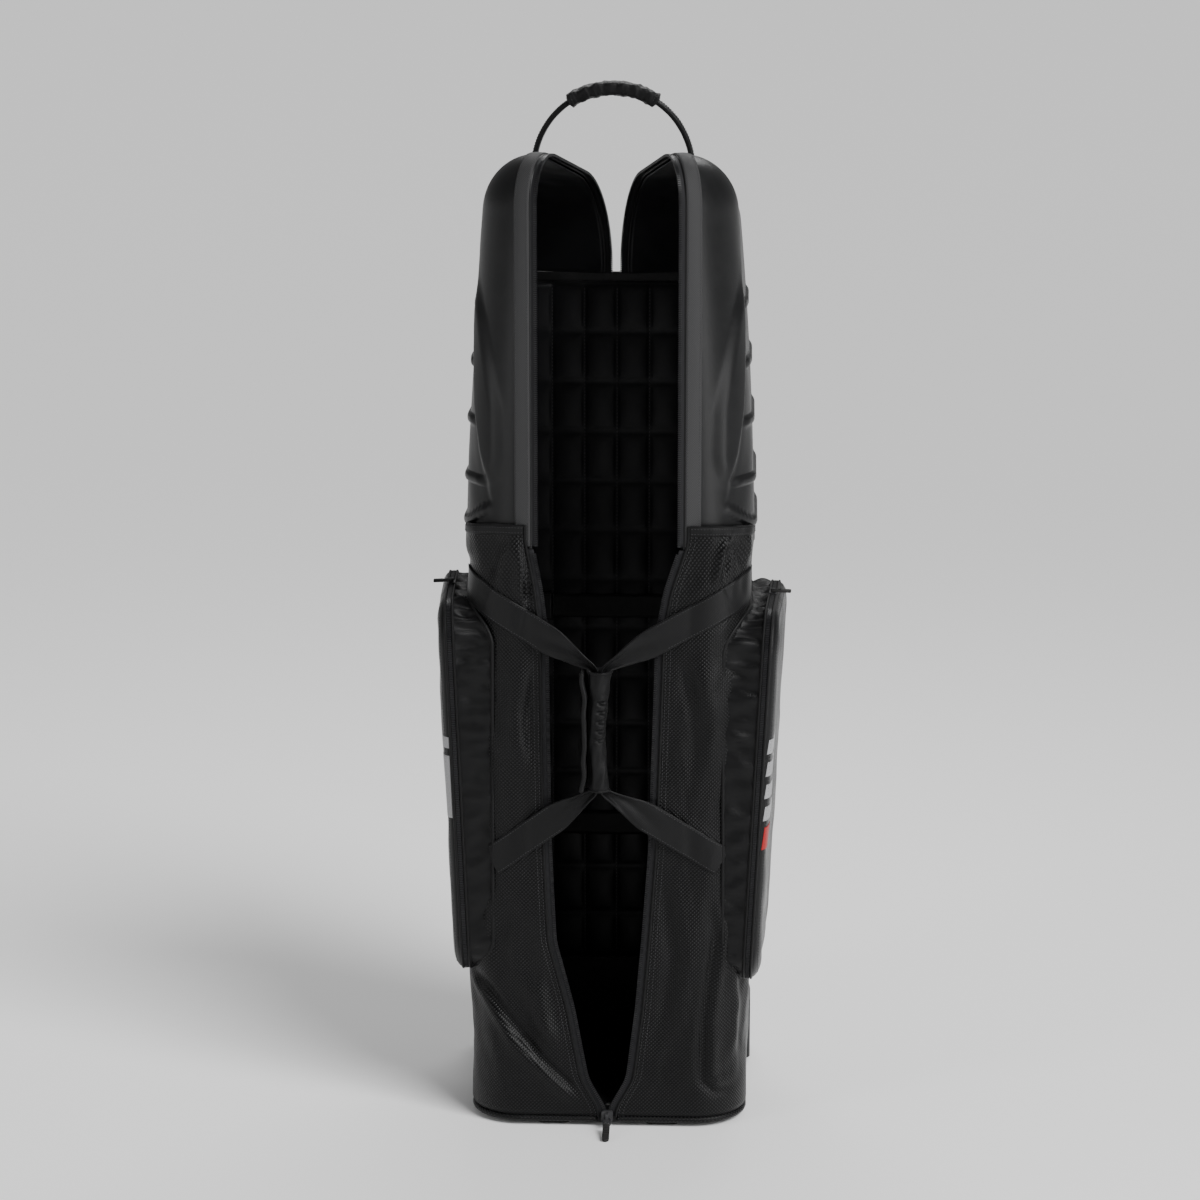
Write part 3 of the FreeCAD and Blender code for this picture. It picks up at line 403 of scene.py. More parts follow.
def moulded(name, colour, scuffed, roughness, grain, depth, coat=0.0):
    """Moulded plastic or rubber: a pebbled grain of the given size, and paler scuffs here and there."""
    material = bpy.data.materials.new(name)
    material.use_nodes = True
    tree = material.node_tree
    nodes, links = tree.nodes, tree.links
    nodes.clear()
    output = nodes.new("ShaderNodeOutputMaterial")
    output.label, output.location = "surface", (700, 0)
    shader = nodes.new("ShaderNodeBsdfPrincipled")
    shader.label, shader.location = "moulded skin", (440, 0)
    shader.inputs["Specular IOR Level"].default_value = 0.2
    shader.inputs["Coat Weight"].default_value = coat
    shader.inputs["Coat Roughness"].default_value = 0.3
    texture = nodes.new("NodeFrame")
    texture.label = "mould texture"
    wear = nodes.new("NodeFrame")
    wear.label = "scuffs"
    place = nodes.new("ShaderNodeTexCoord")
    place.label, place.location = "place on the case", (-900, 0)
    pebbles = nodes.new("ShaderNodeTexVoronoi")
    pebbles.label, pebbles.location, pebbles.parent = "pebbled grain", (-640, -240), texture
    pebbles.inputs["Scale"].default_value = 1 / grain
    links.new(place.outputs["Object"], pebbles.inputs["Vector"])
    relief = nodes.new("ShaderNodeBump")
    relief.label, relief.location, relief.parent = "grain relief", (200, -240), texture
    relief.inputs["Strength"].default_value = 0.6
    relief.inputs["Distance"].default_value = depth
    links.new(pebbles.outputs["Distance"], relief.inputs["Height"])
    links.new(relief.outputs["Normal"], shader.inputs["Normal"])
    marks = nodes.new("ShaderNodeTexNoise")
    marks.label, marks.location, marks.parent = "where it is rubbed", (-640, 200), wear
    marks.inputs["Scale"].default_value = 22.0
    marks.inputs["Detail"].default_value = 9.0
    marks.inputs["Roughness"].default_value = 0.65
    links.new(place.outputs["Object"], marks.inputs["Vector"])
    amount = nodes.new("ShaderNodeMapRange")
    amount.label, amount.location, amount.parent = "how much it is rubbed", (-400, 200), wear
    amount.inputs["From Min"].default_value = 0.45
    amount.inputs["From Max"].default_value = 0.75
    links.new(marks.outputs["Fac"], amount.inputs["Value"])
    mix = nodes.new("ShaderNodeMix")
    mix.label, mix.location, mix.parent = "plain and scuffed colour", (-100, 200), wear
    mix.data_type = "RGBA"
    mix.inputs["A"].default_value = (*colour, 1)
    mix.inputs["B"].default_value = (*scuffed, 1)
    links.new(amount.outputs["Result"], mix.inputs["Factor"])
    links.new(mix.outputs["Result"], shader.inputs["Base Color"])
    gloss = nodes.new("ShaderNodeMapRange")
    gloss.label, gloss.location, gloss.parent = "uneven gloss", (-100, -40), wear
    gloss.inputs["To Min"].default_value = roughness - 0.05
    gloss.inputs["To Max"].default_value = roughness + 0.1
    links.new(marks.outputs["Fac"], gloss.inputs["Value"])
    links.new(gloss.outputs["Result"], shader.inputs["Roughness"])
    links.new(shader.outputs["BSDF"], output.inputs["Surface"])
    return material


def waves(points, length, seed, count=7):
    """Soft random relief between -1 and 1, from a few slanting waves of about the given length."""
    chance = np.random.default_rng(seed)
    total = np.zeros(points.shape[:-1])
    for _ in range(count):
        heading = chance.normal(size=3)
        heading /= np.linalg.norm(heading)
        total += np.sin(points @ heading * (2 * np.pi / (length * chance.uniform(0.7, 1.5)))
                        + chance.uniform(0, 2 * np.pi))
    return total / math.sqrt(count * 2)


def fitted(piece, finish, slot, body, *nodes):
    """Paints a piece and says which body it rides on and which plain solids it stands for."""
    piece.data.materials.append(finish)
    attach(piece, body)
    if nodes:
        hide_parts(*nodes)
    return piece


shell_skin = moulded("satin_moulded_shell", (0.0052, 0.0053, 0.0056), (0.0085, 0.0085, 0.0089), 0.36,
                     0.0011, 0.00012)
# the almond panel's inner and outer edge, as distance from the zip edge at each height
ALMOND_Z = (0.830, 0.868, 0.900, 0.959, 1.009, 1.068, 1.118, 1.178)
ALMOND_IN = (0.054, 0.040, 0.034, 0.036, 0.048, 0.066, 0.090, 0.116)
ALMOND_OUT = (0.055, 0.070, 0.084, 0.099, 0.104, 0.108, 0.112, 0.117)


def sculpted(points, lengths, behind):
    """How far the shell's relief stands out: the almond panel, the channel round it and the ribs."""
    z, across = points[..., 2], lengths[..., 1]
    inner, outer = np.interp(z, ALMOND_Z, ALMOND_IN), np.interp(z, ALMOND_Z, ALMOND_OUT)
    front = ~behind & (z < 1.19)
    panel = step(across, inner, inner + 0.024) * (1 - step(across, outer - 0.009, outer))
    panel = panel * step(outer - inner, 0.012, 0.042)
    channel = step(across, outer - 0.004, outer + 0.006)
    channel = channel * (1 - step(across, outer + 0.02, outer + 0.06))
    panel = PANEL_RISE_TOP * panel * step(z, 0.826, 0.84) * (1 - step(z, 1.15, 1.178))
    channel = CHANNEL_DEPTH * channel * step(z, 0.80, 0.86) * (1 - step(z, 1.10, 1.17))
    relief = np.where(front, panel - channel, 0)
    end = 1 - step(opened(points, 1)[..., 1], 0.085, 0.125)
    for number, level in enumerate(RIBS):           # the lowest rib climbs towards the zip
        start = 0.05 if number == 0 else outer + 0.002
        climb = 0.026 * (1 - step(across, 0.05, 0.125)) if number == 0 else 0.0
        middle = level + np.where(front, climb, 0.0)
        bar = np.sqrt(np.clip(1 - ((z - middle) / RIB_HALF) ** 2, 0, 1))
        run = np.where(behind, 1.0, step(across, start, start + 0.022)) * end
        relief = relief + RIB_RISE * bar * run
    return relief


# rows every 4 mm up the front, and closer together across each rib
ACROSS_A_RIB = (-0.007, -0.005, -0.0025, 0, 0.0025, 0.005, 0.007)
levels = [level + shift for level in RIBS for shift in ACROSS_A_RIB]
levels = np.concatenate([np.arange(TOP_LOW, TOP_SPLIT - 0.002, 0.0042), levels, [TOP_SPLIT]])
levels = np.unique(np.round(levels, 5))
levels = levels[np.concatenate([[True], np.diff(levels) > 0.0009])]
levels[-1] = TOP_SPLIT
SHELL_ARC, SHELL_WALL = 130, 0.003
shell_widths = np.linspace(0.0085, BOARD_EDGE, 44)[:-1]
shell_shares = np.linspace(0, 1, 46)
for side, label in ((-1, "left"), (1, "right")):
    points, normals, lengths = hard_top(levels, SHELL_ARC, shell_widths, shell_shares)
    behind = np.zeros(points.shape[:2], bool)
    behind[len(levels) + SHELL_ARC // 2:] = True
    points = points + normals * sculpted(points, lengths, behind)[..., None]
    drop = np.zeros((points.shape[0] - 1, points.shape[1] - 1), bool)
    drop[len(levels) + SHELL_ARC - 1:, :len(shell_widths)] = True
    shell = laid_grid(f"moulded_shell_{label}", opened(points, side), lengths,
                      outwards(points, normals, side), drop)
    walled(shell, SHELL_WALL)
    fitted(shell, shell_skin, "shell", f"{label}_top", f"hard_shell_{label}")

# Inside each half lies a satin lining, glued at its rim and a little slack over the foam.
satin = woven("black_satin_lining", (0.006, 0.006, 0.007), (0.016, 0.016, 0.018), 0.34, 0.0006, 0.00005,
              sheen=0.1, diamond=False)
lining_levels = np.append(np.arange(TOP_LOW + 0.012, TOP_SPLIT - 0.003, 0.009), TOP_SPLIT - 0.001)
LINING_ARC, LINING_WALL = 80, 0.0008
LINING_DEPTH = 0.0062                           # the foam between lining and shell fills that depth
lining_widths = np.linspace(0.011, BOARD_EDGE + 0.002, 30)[:-1]
for side, label in ((-1, "left"), (1, "right")):
    points, normals, lengths = hard_top(lining_levels, LINING_ARC, lining_widths,
                                        np.linspace(0, 1, 34), lift=-LINING_DEPTH)
    slack = waves(points * (1, 1, 0.6), 0.07, 5 + side) * 0.0012
    slack = slack + waves(points, 0.025, 9 + side) * 0.0004
    rim = step(lengths[..., 1], 0.0, 0.03)
    points = points + normals * (np.minimum(slack, 0.0006) * rim)[..., None]
    drop = np.zeros((points.shape[0] - 1, points.shape[1] - 1), bool)
    drop[len(lining_levels) + LINING_ARC - 1:, :len(lining_widths)] = True
    lining = laid_grid(f"satin_lining_{label}", opened(points, side), lengths,
                       outwards(points, -normals, side), drop)
    walled(lining, LINING_WALL)
    fitted(lining, satin, "lining", f"{label}_top", f"shell_lining_{label}")


def resampled(pitch, path, *others):
    """Evenly spaced points along a path, with whatever goes with them."""
    length = run_along(path)
    count = max(int(length[-1] / pitch), 2)
    spots = (np.arange(count) + 0.5) * length[-1] / count
    return [np.stack([np.interp(spots, length, row[:, axis]) for axis in range(3)], axis=1)
            for row in (path, *others)]


def row_of(name, path, outward, pitch, size, rounded=False):
    """Many small equal pieces set along a path: teeth as blocks, stitches as beads.

    size is the length along the path, the width across it and the height.
    """
    spots, ups = resampled(pitch, path, outward)
    heads = np.gradient(spots, axis=0)
    form = bmesh.new()
    for spot, head, up in zip(spots, heads, ups):
        head = Vector(head).normalized()
        beside = Vector(up).cross(head).normalized()
        axes = Matrix((head * size[0], beside * size[1], head.cross(beside) * size[2]))
        seat = axes.transposed().to_4x4()
        seat.translation = Vector(spot)
        if rounded:
            bmesh.ops.create_icosphere(form, subdivisions=1, radius=0.5, matrix=seat)
        else:
            bmesh.ops.create_cube(form, size=1, matrix=seat)
    piece = placed(name, form)
    if rounded:
        piece.data.shade_smooth()
    return piece


def stitches(name, path, outward, pitch, length, width):
    """A row of lockstitch: a bead for each stitch that shows."""
    return row_of(name, path, outward, pitch, (length, width, width - 0.0002), True)


def bead_along(name, path, outward, radius, sides=8):
    """A round cord, piping or rolled edge that follows a path."""
    heads = np.gradient(path, axis=0)
    heads /= np.linalg.norm(heads, axis=1, keepdims=True)
    beside = np.cross(outward, heads)
    beside /= np.linalg.norm(beside, axis=1, keepdims=True)
    up = np.cross(heads, beside)
    angle = np.linspace(0, 2 * np.pi, sides + 1)[None, :, None]
    spoke = np.cos(angle) * beside[:, None] + np.sin(angle) * up[:, None]
    length = run_along(path)
    lengths = spread(length[:, None], angle[..., 0] * radius)
    return laid_grid(name, path[:, None] + radius * spoke, lengths, spoke, capped=True)


# The upper zip is a coil of black teeth on a woven tape, sewn inside the rim, with a grey woven
# band stitched along it to the shell.
tape_weave = woven("zip_tape", (0.008, 0.008, 0.009), (0.03, 0.03, 0.032), 0.6, 0.0011, 0.00012)
band_weave = woven("grey_band", (0.022, 0.022, 0.0225), (0.075, 0.075, 0.077), 0.62, 0.0016, 0.0002,
                   mottle=0.15)
tooth_plastic = moulded("zip_teeth", (0.01, 0.01, 0.011), (0.02, 0.02, 0.021), 0.34, 0.0008, 0.00003)
thread = moulded("sewing_thread", (0.035, 0.035, 0.037), (0.06, 0.06, 0.062), 0.55, 0.0005, 0.00005)
RIM_ARC, TAPE_WALL, TEETH_EDGE = 90, 0.0014, 0.0024
MAIN_TOOTH, MAIN_TOOTH_PITCH = (0.0017, 0.0040, 0.0036), 0.0027
rim_levels = np.linspace(TOP_LOW + 0.006, TOP_SPLIT, 60)
BAND_WIDTHS, BAND_WALL = np.linspace(0.0102, 0.031, 9), 0.0015


def rim_strip(widths, lift):
    """A strip of the hard top's surface beside the zip edge, from the front hem over to the board."""
    points, normals, lengths = hard_top(rim_levels, RIM_ARC, widths, np.zeros(1))
    keep = (slice(0, len(rim_levels) + RIM_ARC), slice(0, len(widths)))
    points, normals = points[keep] + normals[keep] * lift, normals[keep]
    kept = np.concatenate([[True], np.linalg.norm(np.diff(points[:, 0], axis=0), axis=1) > 1e-5])
    return points[kept], normals[kept], lengths[keep][kept]


for side, label in ((-1, "left"), (1, "right")):
    top = f"{label}_top"
    points, normals, lengths = rim_strip(np.linspace(TEETH_EDGE, 0.0104, 5), -0.0004)
    tape = laid_grid(f"upper_tape_{label}", opened(points, side), lengths,
                     outwards(points, normals, side))
    fitted(walled(tape, TAPE_WALL), tape_weave, "zip", top, f"upper_zip_{label}")
    points, normals, lengths = rim_strip(np.array([TEETH_EDGE]), -0.001)
    path, outward = opened(points[:, 0], side), outwards(points, normals, side)[:, 0]
    teeth = row_of(f"upper_teeth_{label}", path, outward, MAIN_TOOTH_PITCH, MAIN_TOOTH)
    fitted(teeth, tooth_plastic, "zip", top)
    domed = 0.0012 + 0.0010 * np.sin(np.pi * np.linspace(0.1, 0.9, len(BAND_WIDTHS)))
    points, normals, lengths = rim_strip(BAND_WIDTHS, 0)
    points = points + normals * domed[:, None]
    band = laid_grid(f"woven_band_{label}", opened(points, side), lengths,
                     outwards(points, normals, side))
    fitted(walled(band, BAND_WALL), band_weave, "band", top, f"shell_band_{label}")
    for row, column in (("inner", 1), ("outer", 7)):
        path = opened(points[:, column] + normals[:, column] * 0.0002, side)
        outward = outwards(points, normals, side)[:, column]
        fitted(stitches(f"band_stitches_{row}_{label}", path, outward, 0.0042, 0.0029, 0.0008),
               thread, "band", top)

# ---- Cloth body --------------------------------------------------------------------------------
# Each half is one padded boot of twill laminated to foam, lined with satin, with a loose collar
# whose bound hem is stitched over the foot of the hard top. The main zip's lower run is sewn to
# the flap's edge between a piping and two rows of stitches.
wall_low, wall_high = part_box("cloth_wall_right")
collar_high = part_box("cloth_collar_right")[1]
FRONT, BODY_HALF, BODY_LOW, BODY_BACK = wall_low.y, wall_high.x, wall_low.z, board_high.y
HEM = collar_high.z
CORNER, REAR_CORNER, SOLE_R = 0.070, 0.034, 0.010
FLAT_HALF, BODY_WALL = 0.114, 0.0036                         # middle to front corner; cloth and foam
BEND = CORNER * math.pi / 2                                  # length round the front corner
FLANK = BODY_BACK - REAR_CORNER - FRONT - CORNER             # length of the flat side
WELL_U = BEND + 0.0985 - FRONT - CORNER                      # where the wheel housing cuts in
WELL_Z = 0.0990
SLIT_Z = (0.012, 0.024, 0.067, 0.163, 0.256, 0.380, 0.675, 0.722, 0.770)
SLIT_HALF = {-1: (0, 0, 0.024, 0.042, 0.066, 0.072, 0.076, 0.082, 0.0945),
             1: (0, 0, 0.024, 0.036, 0.044, 0.053, 0.062, 0.071, 0.0925)}
smooth_z = np.arange(-0.05, 0.86, 0.002)
SOFTENING = np.hanning(19)[1:-1] / np.hanning(19).sum()
SMOOTH_SLIT = {side: np.convolve(np.pad(np.interp(smooth_z, SLIT_Z, SLIT_HALF[side]), 8, "edge"),
                                 SOFTENING, "valid") for side in (-1, 1)}


def slit_half(side, z):
    """Half the slit's width at each height: how far the zip's edge lies from the middle."""
    return np.interp(z, smooth_z, SMOOTH_SLIT[side])


def crease(u, z, spots, width, depth):
    """A soft valley with a ridge beside it along a line of (u, z) spots, fading towards its ends."""
    nearest, beside, progress = np.full(u.shape, 9.0), np.zeros(u.shape), np.zeros(u.shape)
    for number, (start, end) in enumerate(zip(spots[:-1], spots[1:])):
        run = np.subtract(end, start)
        share = np.clip(((u - start[0]) * run[0] + (z - start[1]) * run[1]) / (run @ run), 0, 1)
        off_u, off_z = u - start[0] - share * run[0], z - start[1] - share * run[1]
        distance = np.hypot(off_u, off_z)
        closer = distance < nearest
        nearest = np.where(closer, distance, nearest)
        beside = np.where(closer, (run[0] * off_z - run[1] * off_u) / np.linalg.norm(run), beside)
        progress = np.where(closer, (number + share) / (len(spots) - 1), progress)
    fade = step(progress, 0, 0.25) * (1 - step(progress, 0.7, 1))
    ridge = np.exp(-((beside - 2.0 * width) / (1.4 * width)) ** 2) * (nearest < 8 * width)
    return depth * fade * (0.75 * ridge - np.exp(-(nearest / width) ** 2))


HEM_RISE = 0.0215                                            # how much higher the hem sits in front
PUCKER_PITCH, LIP_WAVE = 0.013, 0.21                         # gathers along the zip, and its slow sway

# each fold: its line as (u, z), its width and its depth
FOLDS = {-1: ((((-0.010, 0.785), (-0.016, 0.745), (-0.012, 0.705), (-0.004, 0.660)), 0.0065, 0.0065),
              (((0.006, 0.778), (0.026, 0.735), (0.046, 0.690)), 0.010, -0.0050),
              (((-0.030, 0.640), (-0.014, 0.560), (-0.020, 0.480)), 0.010, 0.0045),
              (((0.098, 0.216), (0.050, 0.188), (-0.006, 0.116), (-0.060, 0.062), (-0.092, 0.034)),
               0.0060, 0.0042),
              (((-0.004, 0.215), (-0.020, 0.150), (-0.058, 0.100)), 0.012, -0.0042),
              (((0.010, 0.330), (0.030, 0.250), (0.022, 0.180)), 0.012, 0.0038),
              (((-0.030, 0.300), (-0.026, 0.190), (-0.040, 0.110)), 0.010, -0.0030)),
         1: ((((0.052, 0.786), (0.034, 0.762), (0.027, 0.735), (0.038, 0.700)), 0.0050, -0.0075),
             (((0.060, 0.782), (0.074, 0.745), (0.066, 0.705)), 0.008, 0.0045),
             (((-0.020, 0.640), (0.000, 0.560), (-0.006, 0.470)), 0.011, 0.0036),
             (((0.016, 0.330), (0.030, 0.262), (0.014, 0.150), (0.012, 0.066), (0.030, 0.050),
               (0.075, 0.052)), 0.0062, 0.0048),
             (((-0.040, 0.350), (-0.030, 0.230), (-0.044, 0.120)), 0.010, 0.0030),
             (((0.050, 0.260), (0.066, 0.160), (0.058, 0.070)), 0.010, -0.0034))}

# the carry handle's arms, seen from the front: where each starts by the grip and where it ends
ARMS = {-1: ((0.181, 0.724), (0.142, 0.370)), 1: ((0.180, 0.725), (0.137, 0.374))}


def under_arms(side, u, z):
    """1 where an arm of the carry handle lies on the cloth and presses it flat."""
    x = BODY_HALF - CORNER + CORNER * np.sin(np.clip(u / CORNER, 0, math.pi / 2)) + np.minimum(u, 0)
    pressed = np.zeros(np.broadcast(x, z).shape)
    for (end_x, end_z), start_z in zip(ARMS[side], (0.640, 0.466)):
        run = np.array((end_x - side * -0.006 - 0.0075, end_z - start_z))
        run /= np.linalg.norm(run)
        beside = np.abs((x - end_x) * run[1] - (z - end_z) * run[0])
        pressed = np.maximum(pressed, (1 - step(beside, 0.018, 0.032)) * step(x, 0.085, 0.108))
    return pressed * (u < BEND + 0.02)


def cloth_relief(side, u, z):
    """How far the cloth stands off its pattern: slack, folds, a loose collar and a wavy zip edge."""
    to_edge = u + BODY_HALF - CORNER - slit_half(side, z)
    spot = spread(u, z * 0.45, side * 2.0)
    slack = (0.0026 * waves(spot, 0.10, 21) + 0.0013 * waves(spot, 0.038, 22)
             + 0.0005 * waves(spot, 0.014, 23))
    flat = step(z, 0.03, 0.09) * step(to_edge, 0.0, 0.05)
    flat = flat * (1 - step(u, WELL_U + 0.01, WELL_U + 0.05))
    relief = slack * flat
    for spots, width, depth in FOLDS[side]:
        relief = relief + 1.3 * crease(u, z, spots, width, depth) * step(to_edge, 0.004, 0.03)
    pressed = under_arms(side, u, z)
    relief = relief * (1 - pressed) + np.minimum(relief, 0) * 0.3 * pressed
    pucker = 0.0005 * np.sin(z * 2 * np.pi / PUCKER_PITCH + 2 * np.sin(z * 31))
    pucker = pucker * np.exp(-(to_edge / 0.018) ** 2)
    lip = 0.0022 * np.sin(z * 2 * np.pi / LIP_WAVE + side) * np.exp(-(to_edge / 0.06) ** 2)
    lip = lip * step(z, 0.06, 0.2) * (1 - step(z, 0.66, 0.76))
    collar = (0.0006 + 0.0012 * side) * step(z, 0.705, 0.775) * step(u, -0.03, 0.03)
    collar = collar * (1 - step(u, BEND + 0.16, BEND + 0.21))
    sag = -0.0020 * np.exp(-((z - 0.742) / 0.02) ** 2) * step(to_edge, 0.01, 0.04)
    return relief + pucker * step(z, 0.05, 0.09) + lip + collar + sag


def cloth_surface(side, u, z, inset=0.0, lift=0.0):
    """Points and outward directions on the cloth, u metres past the start of the front corner."""
    past_flank = u - BEND - FLANK
    turn = np.clip(u / CORNER, 0, math.pi / 2)
    rear_turn = np.clip(past_flank / REAR_CORNER, 0, math.pi / 2)
    angle = turn + rear_turn
    x = BODY_HALF - CORNER + CORNER * np.sin(turn) + np.minimum(u, 0)
    x = x - REAR_CORNER * (1 - np.cos(rear_turn))
    x = x - np.maximum(past_flank - REAR_CORNER * math.pi / 2, 0)
    y = FRONT + CORNER * (1 - np.cos(turn)) + np.clip(u - BEND, 0, FLANK)
    y = y + REAR_CORNER * np.sin(rear_turn)
    out = lift - inset + cloth_relief(side, u, z) * (inset < 0.009)
    z = z + HEM_RISE * step(z, 0.700, 0.790) * (1 - step(u, 0, BEND + 0.13))
    x, y, z = np.broadcast_arrays(x + np.sin(angle) * out, y - np.cos(angle) * out, z)
    outward = spread(np.sin(angle) * side, -np.cos(angle), 0 * x)
    return spread(x * side, y, z), outward


def following(piece, finish, slot, label, *nodes):
    """Paints a piece of the cloth body, bakes its placement into the mesh and hides the plain solids it
    stands for.
    """
    piece.data.materials.append(finish)
    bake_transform(piece)
    if nodes:
        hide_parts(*nodes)
    return piece


twill = woven("diamond_twill", (0.0006, 0.0006, 0.0007), (0.0160, 0.0160, 0.0166), 0.36, 0.0036, 0.0007)
hem_weave = woven("hem_binding", (0.0035, 0.0035, 0.0037), (0.011, 0.011, 0.0115), 0.5, 0.0014, 0.0002,
                  diamond=False)
roll = np.linspace(0, math.pi / 2, 6)
row_z = np.concatenate([[BODY_LOW] * 3, BODY_LOW + SOLE_R * (1 - np.cos(roll)),
                        np.linspace(BODY_LOW + SOLE_R, WELL_Z, 16)[1:],
                        np.linspace(WELL_Z, HEM, 126)[1:]])
row_inset = np.concatenate([[0.050, 0.032, 0.018], SOLE_R * (1 - np.sin(roll)), np.zeros(140)])
for side, label in ((-1, "left"), (1, "right")):
    flap_start = slit_half(side, row_z) + 0.0098 - FLAT_HALF
    past = np.concatenate([np.linspace(0, BEND, 26)[1:], np.linspace(BEND, WELL_U, 42)[1:],
                           np.linspace(WELL_U, BEND + FLANK, 12)[1:],
                           BEND + FLANK + np.linspace(0, REAR_CORNER * math.pi / 2 + 0.002, 12)[1:]])
    u = np.concatenate([flap_start[:, None] * (1 - np.linspace(0, 1, 30)),
                        np.broadcast_to(past, (len(row_z), len(past)))], axis=1)
    points, outward = cloth_surface(side, u, row_z[:, None], row_inset[:, None])
    outward = outward + (0, 0, -1e-3)
    well_column = int(np.searchsorted(past, WELL_U - 1e-6)) + 30
    well_row = int(np.searchsorted(row_z, WELL_Z - 1e-6))
    drop = np.zeros((points.shape[0] - 1, points.shape[1] - 1), bool)
    drop[:well_row, well_column:] = True
    lengths = spread(u, row_z[:, None] - row_inset[:, None])
    body = laid_grid(f"padded_body_{label}", points, lengths, outward, drop)
    walled(body, BODY_WALL)
    body.modifiers["thickness"].material_offset = 1             # its inner face is the satin
    following(body, twill, "cloth", label, f"cloth_wall_{label}", f"cloth_collar_{label}")
    body.data.materials.append(satin)

    hem_z = np.array([0.7780, 0.7784, 0.7800, 0.7830, 0.7860, 0.7885, 0.7905])
    hem_lift = np.array([0.0000, 0.0007, 0.0013, 0.0016, 0.0016, 0.0010, -0.0006])
    hem_u = np.concatenate([np.linspace(float(slit_half(side, HEM)) + 0.0135 - FLAT_HALF, 0, 20), past])
    points, outward = cloth_surface(side, hem_u[None, :], hem_z[:, None], lift=hem_lift[:, None])
    lengths = spread(hem_u[None, :], hem_z[:, None])
    hem = walled(laid_grid(f"collar_hem_{label}", points, lengths, outward), 0.0012)
    following(hem, hem_weave, "cloth", label)
    for row, level in (("upper", 0.7868), ("lower", 0.7808)):
        path, outward = cloth_surface(side, hem_u, np.full(hem_u.shape, level), lift=0.0016)
        following(stitches(f"hem_stitches_{row}_{label}", path, outward, 0.0040, 0.0028, 0.0008),
                  thread, "cloth", label)

    # round bound edge where the cloth turns under the tray
    sole_u = np.concatenate([np.linspace(0.0120 - FLAT_HALF, 0, 30)[:-1],
                             np.linspace(0, WELL_U - 0.004, 70)])
    path, outward = cloth_surface(side, sole_u, np.full(sole_u.shape, 0.0100), inset=0.0046)
    fitted(bead_along(f"sole_binding_{label}", path, outward, 0.0044), twill, "cloth", "case")

    # lower run of the main zip: tape, teeth, piping and two rows of stitches
    run_z = np.linspace(0.0140, 0.7630, 200)
    edge = slit_half(side, run_z) - FLAT_HALF
    offsets = np.linspace(0.0024, 0.0112, 6)
    points, outward = cloth_surface(side, edge[:, None] + offsets, run_z[:, None], lift=-0.0012)
    lengths = spread(run_z[:, None], offsets)
    tape = walled(laid_grid(f"lower_tape_{label}", points, lengths, outward), TAPE_WALL)
    following(tape, tape_weave, "zip", label, f"lower_zip_{label}")
    path, outward = cloth_surface(side, edge[:-1] + 0.0022, run_z[:-1], lift=-0.0014)
    teeth = row_of(f"lower_teeth_{label}", path, outward, MAIN_TOOTH_PITCH, MAIN_TOOTH)
    following(teeth, tooth_plastic, "zip", label)
    run_z = np.linspace(0.0140, 0.7900, 200)
    edge = slit_half(side, run_z) - FLAT_HALF
    path, outward = cloth_surface(side, edge + 0.0112, run_z, lift=0.0006)
    following(bead_along(f"flap_piping_{label}", path, outward, 0.0016), hem_weave, "cloth", label)
    for row, offset in (("inner", 0.0150), ("outer", 0.0205)):
        path, outward = cloth_surface(side, edge + offset, run_z, lift=0.0001)
        following(stitches(f"flap_stitches_{row}_{label}", path, outward, 0.0040, 0.0028, 0.0009),
                  thread, "cloth", label)

# ---- Side pockets ------------------------------------------------------------------------------
# Each pocket is a crinkled cloth gusset that rises from a piped seam on the body, a belt of zip
# tape with one run of teeth between two bound edges, and a dished foam-backed outer panel.
POCKET_HALF_Y, POCKET_HALF_Z, POCKET_MIDDLE_Y = 0.136, 0.250, -0.0117
POCKET_CORNER, POCKET_OUT = 0.052, 0.211
POCKET_TILT, POCKET_TURN = {-1: math.radians(2.3), 1: math.radians(2.8)}, math.radians(2.9)
POCKET_LOW = {-1: 0.202, 1: 0.192}
OUT_TAPE_IN, OUT_TEETH, OUT_TAPE_OUT, PANEL_RISE = 0.2085, 0.2134, 0.2180, 0.0112


def outline(inset):
    """The pocket's rounded outline from the side, as (y, z) about its middle, and its directions."""
    half_y, half_z, radius = POCKET_HALF_Y - inset, POCKET_HALF_Z - inset, max(POCKET_CORNER - inset, 0)
    spots, ways = [], []
    for quarter, (sign_y, sign_z) in enumerate(((1, 1), (-1, 1), (-1, -1), (1, -1), (1, 1))):
        angle = quarter * np.pi / 2 + (np.linspace(0, np.pi / 2, 20) if quarter < 4 else np.zeros(1))
        way = np.stack([np.cos(angle), np.sin(angle)], axis=1)
        turn = (sign_y * (half_y - radius), sign_z * (half_z - radius)) + radius * way
        if quarter:
            share = np.linspace(0, 1, 36 if quarter % 2 else 84)[1:-1, None]
            spots.append(spots[-1][-1] * (1 - share) + turn[0] * share)
            ways.append(np.repeat(way[:1], len(share), axis=0))
        spots.append(turn)
        ways.append(way)
    return np.concatenate(spots), np.concatenate(ways)


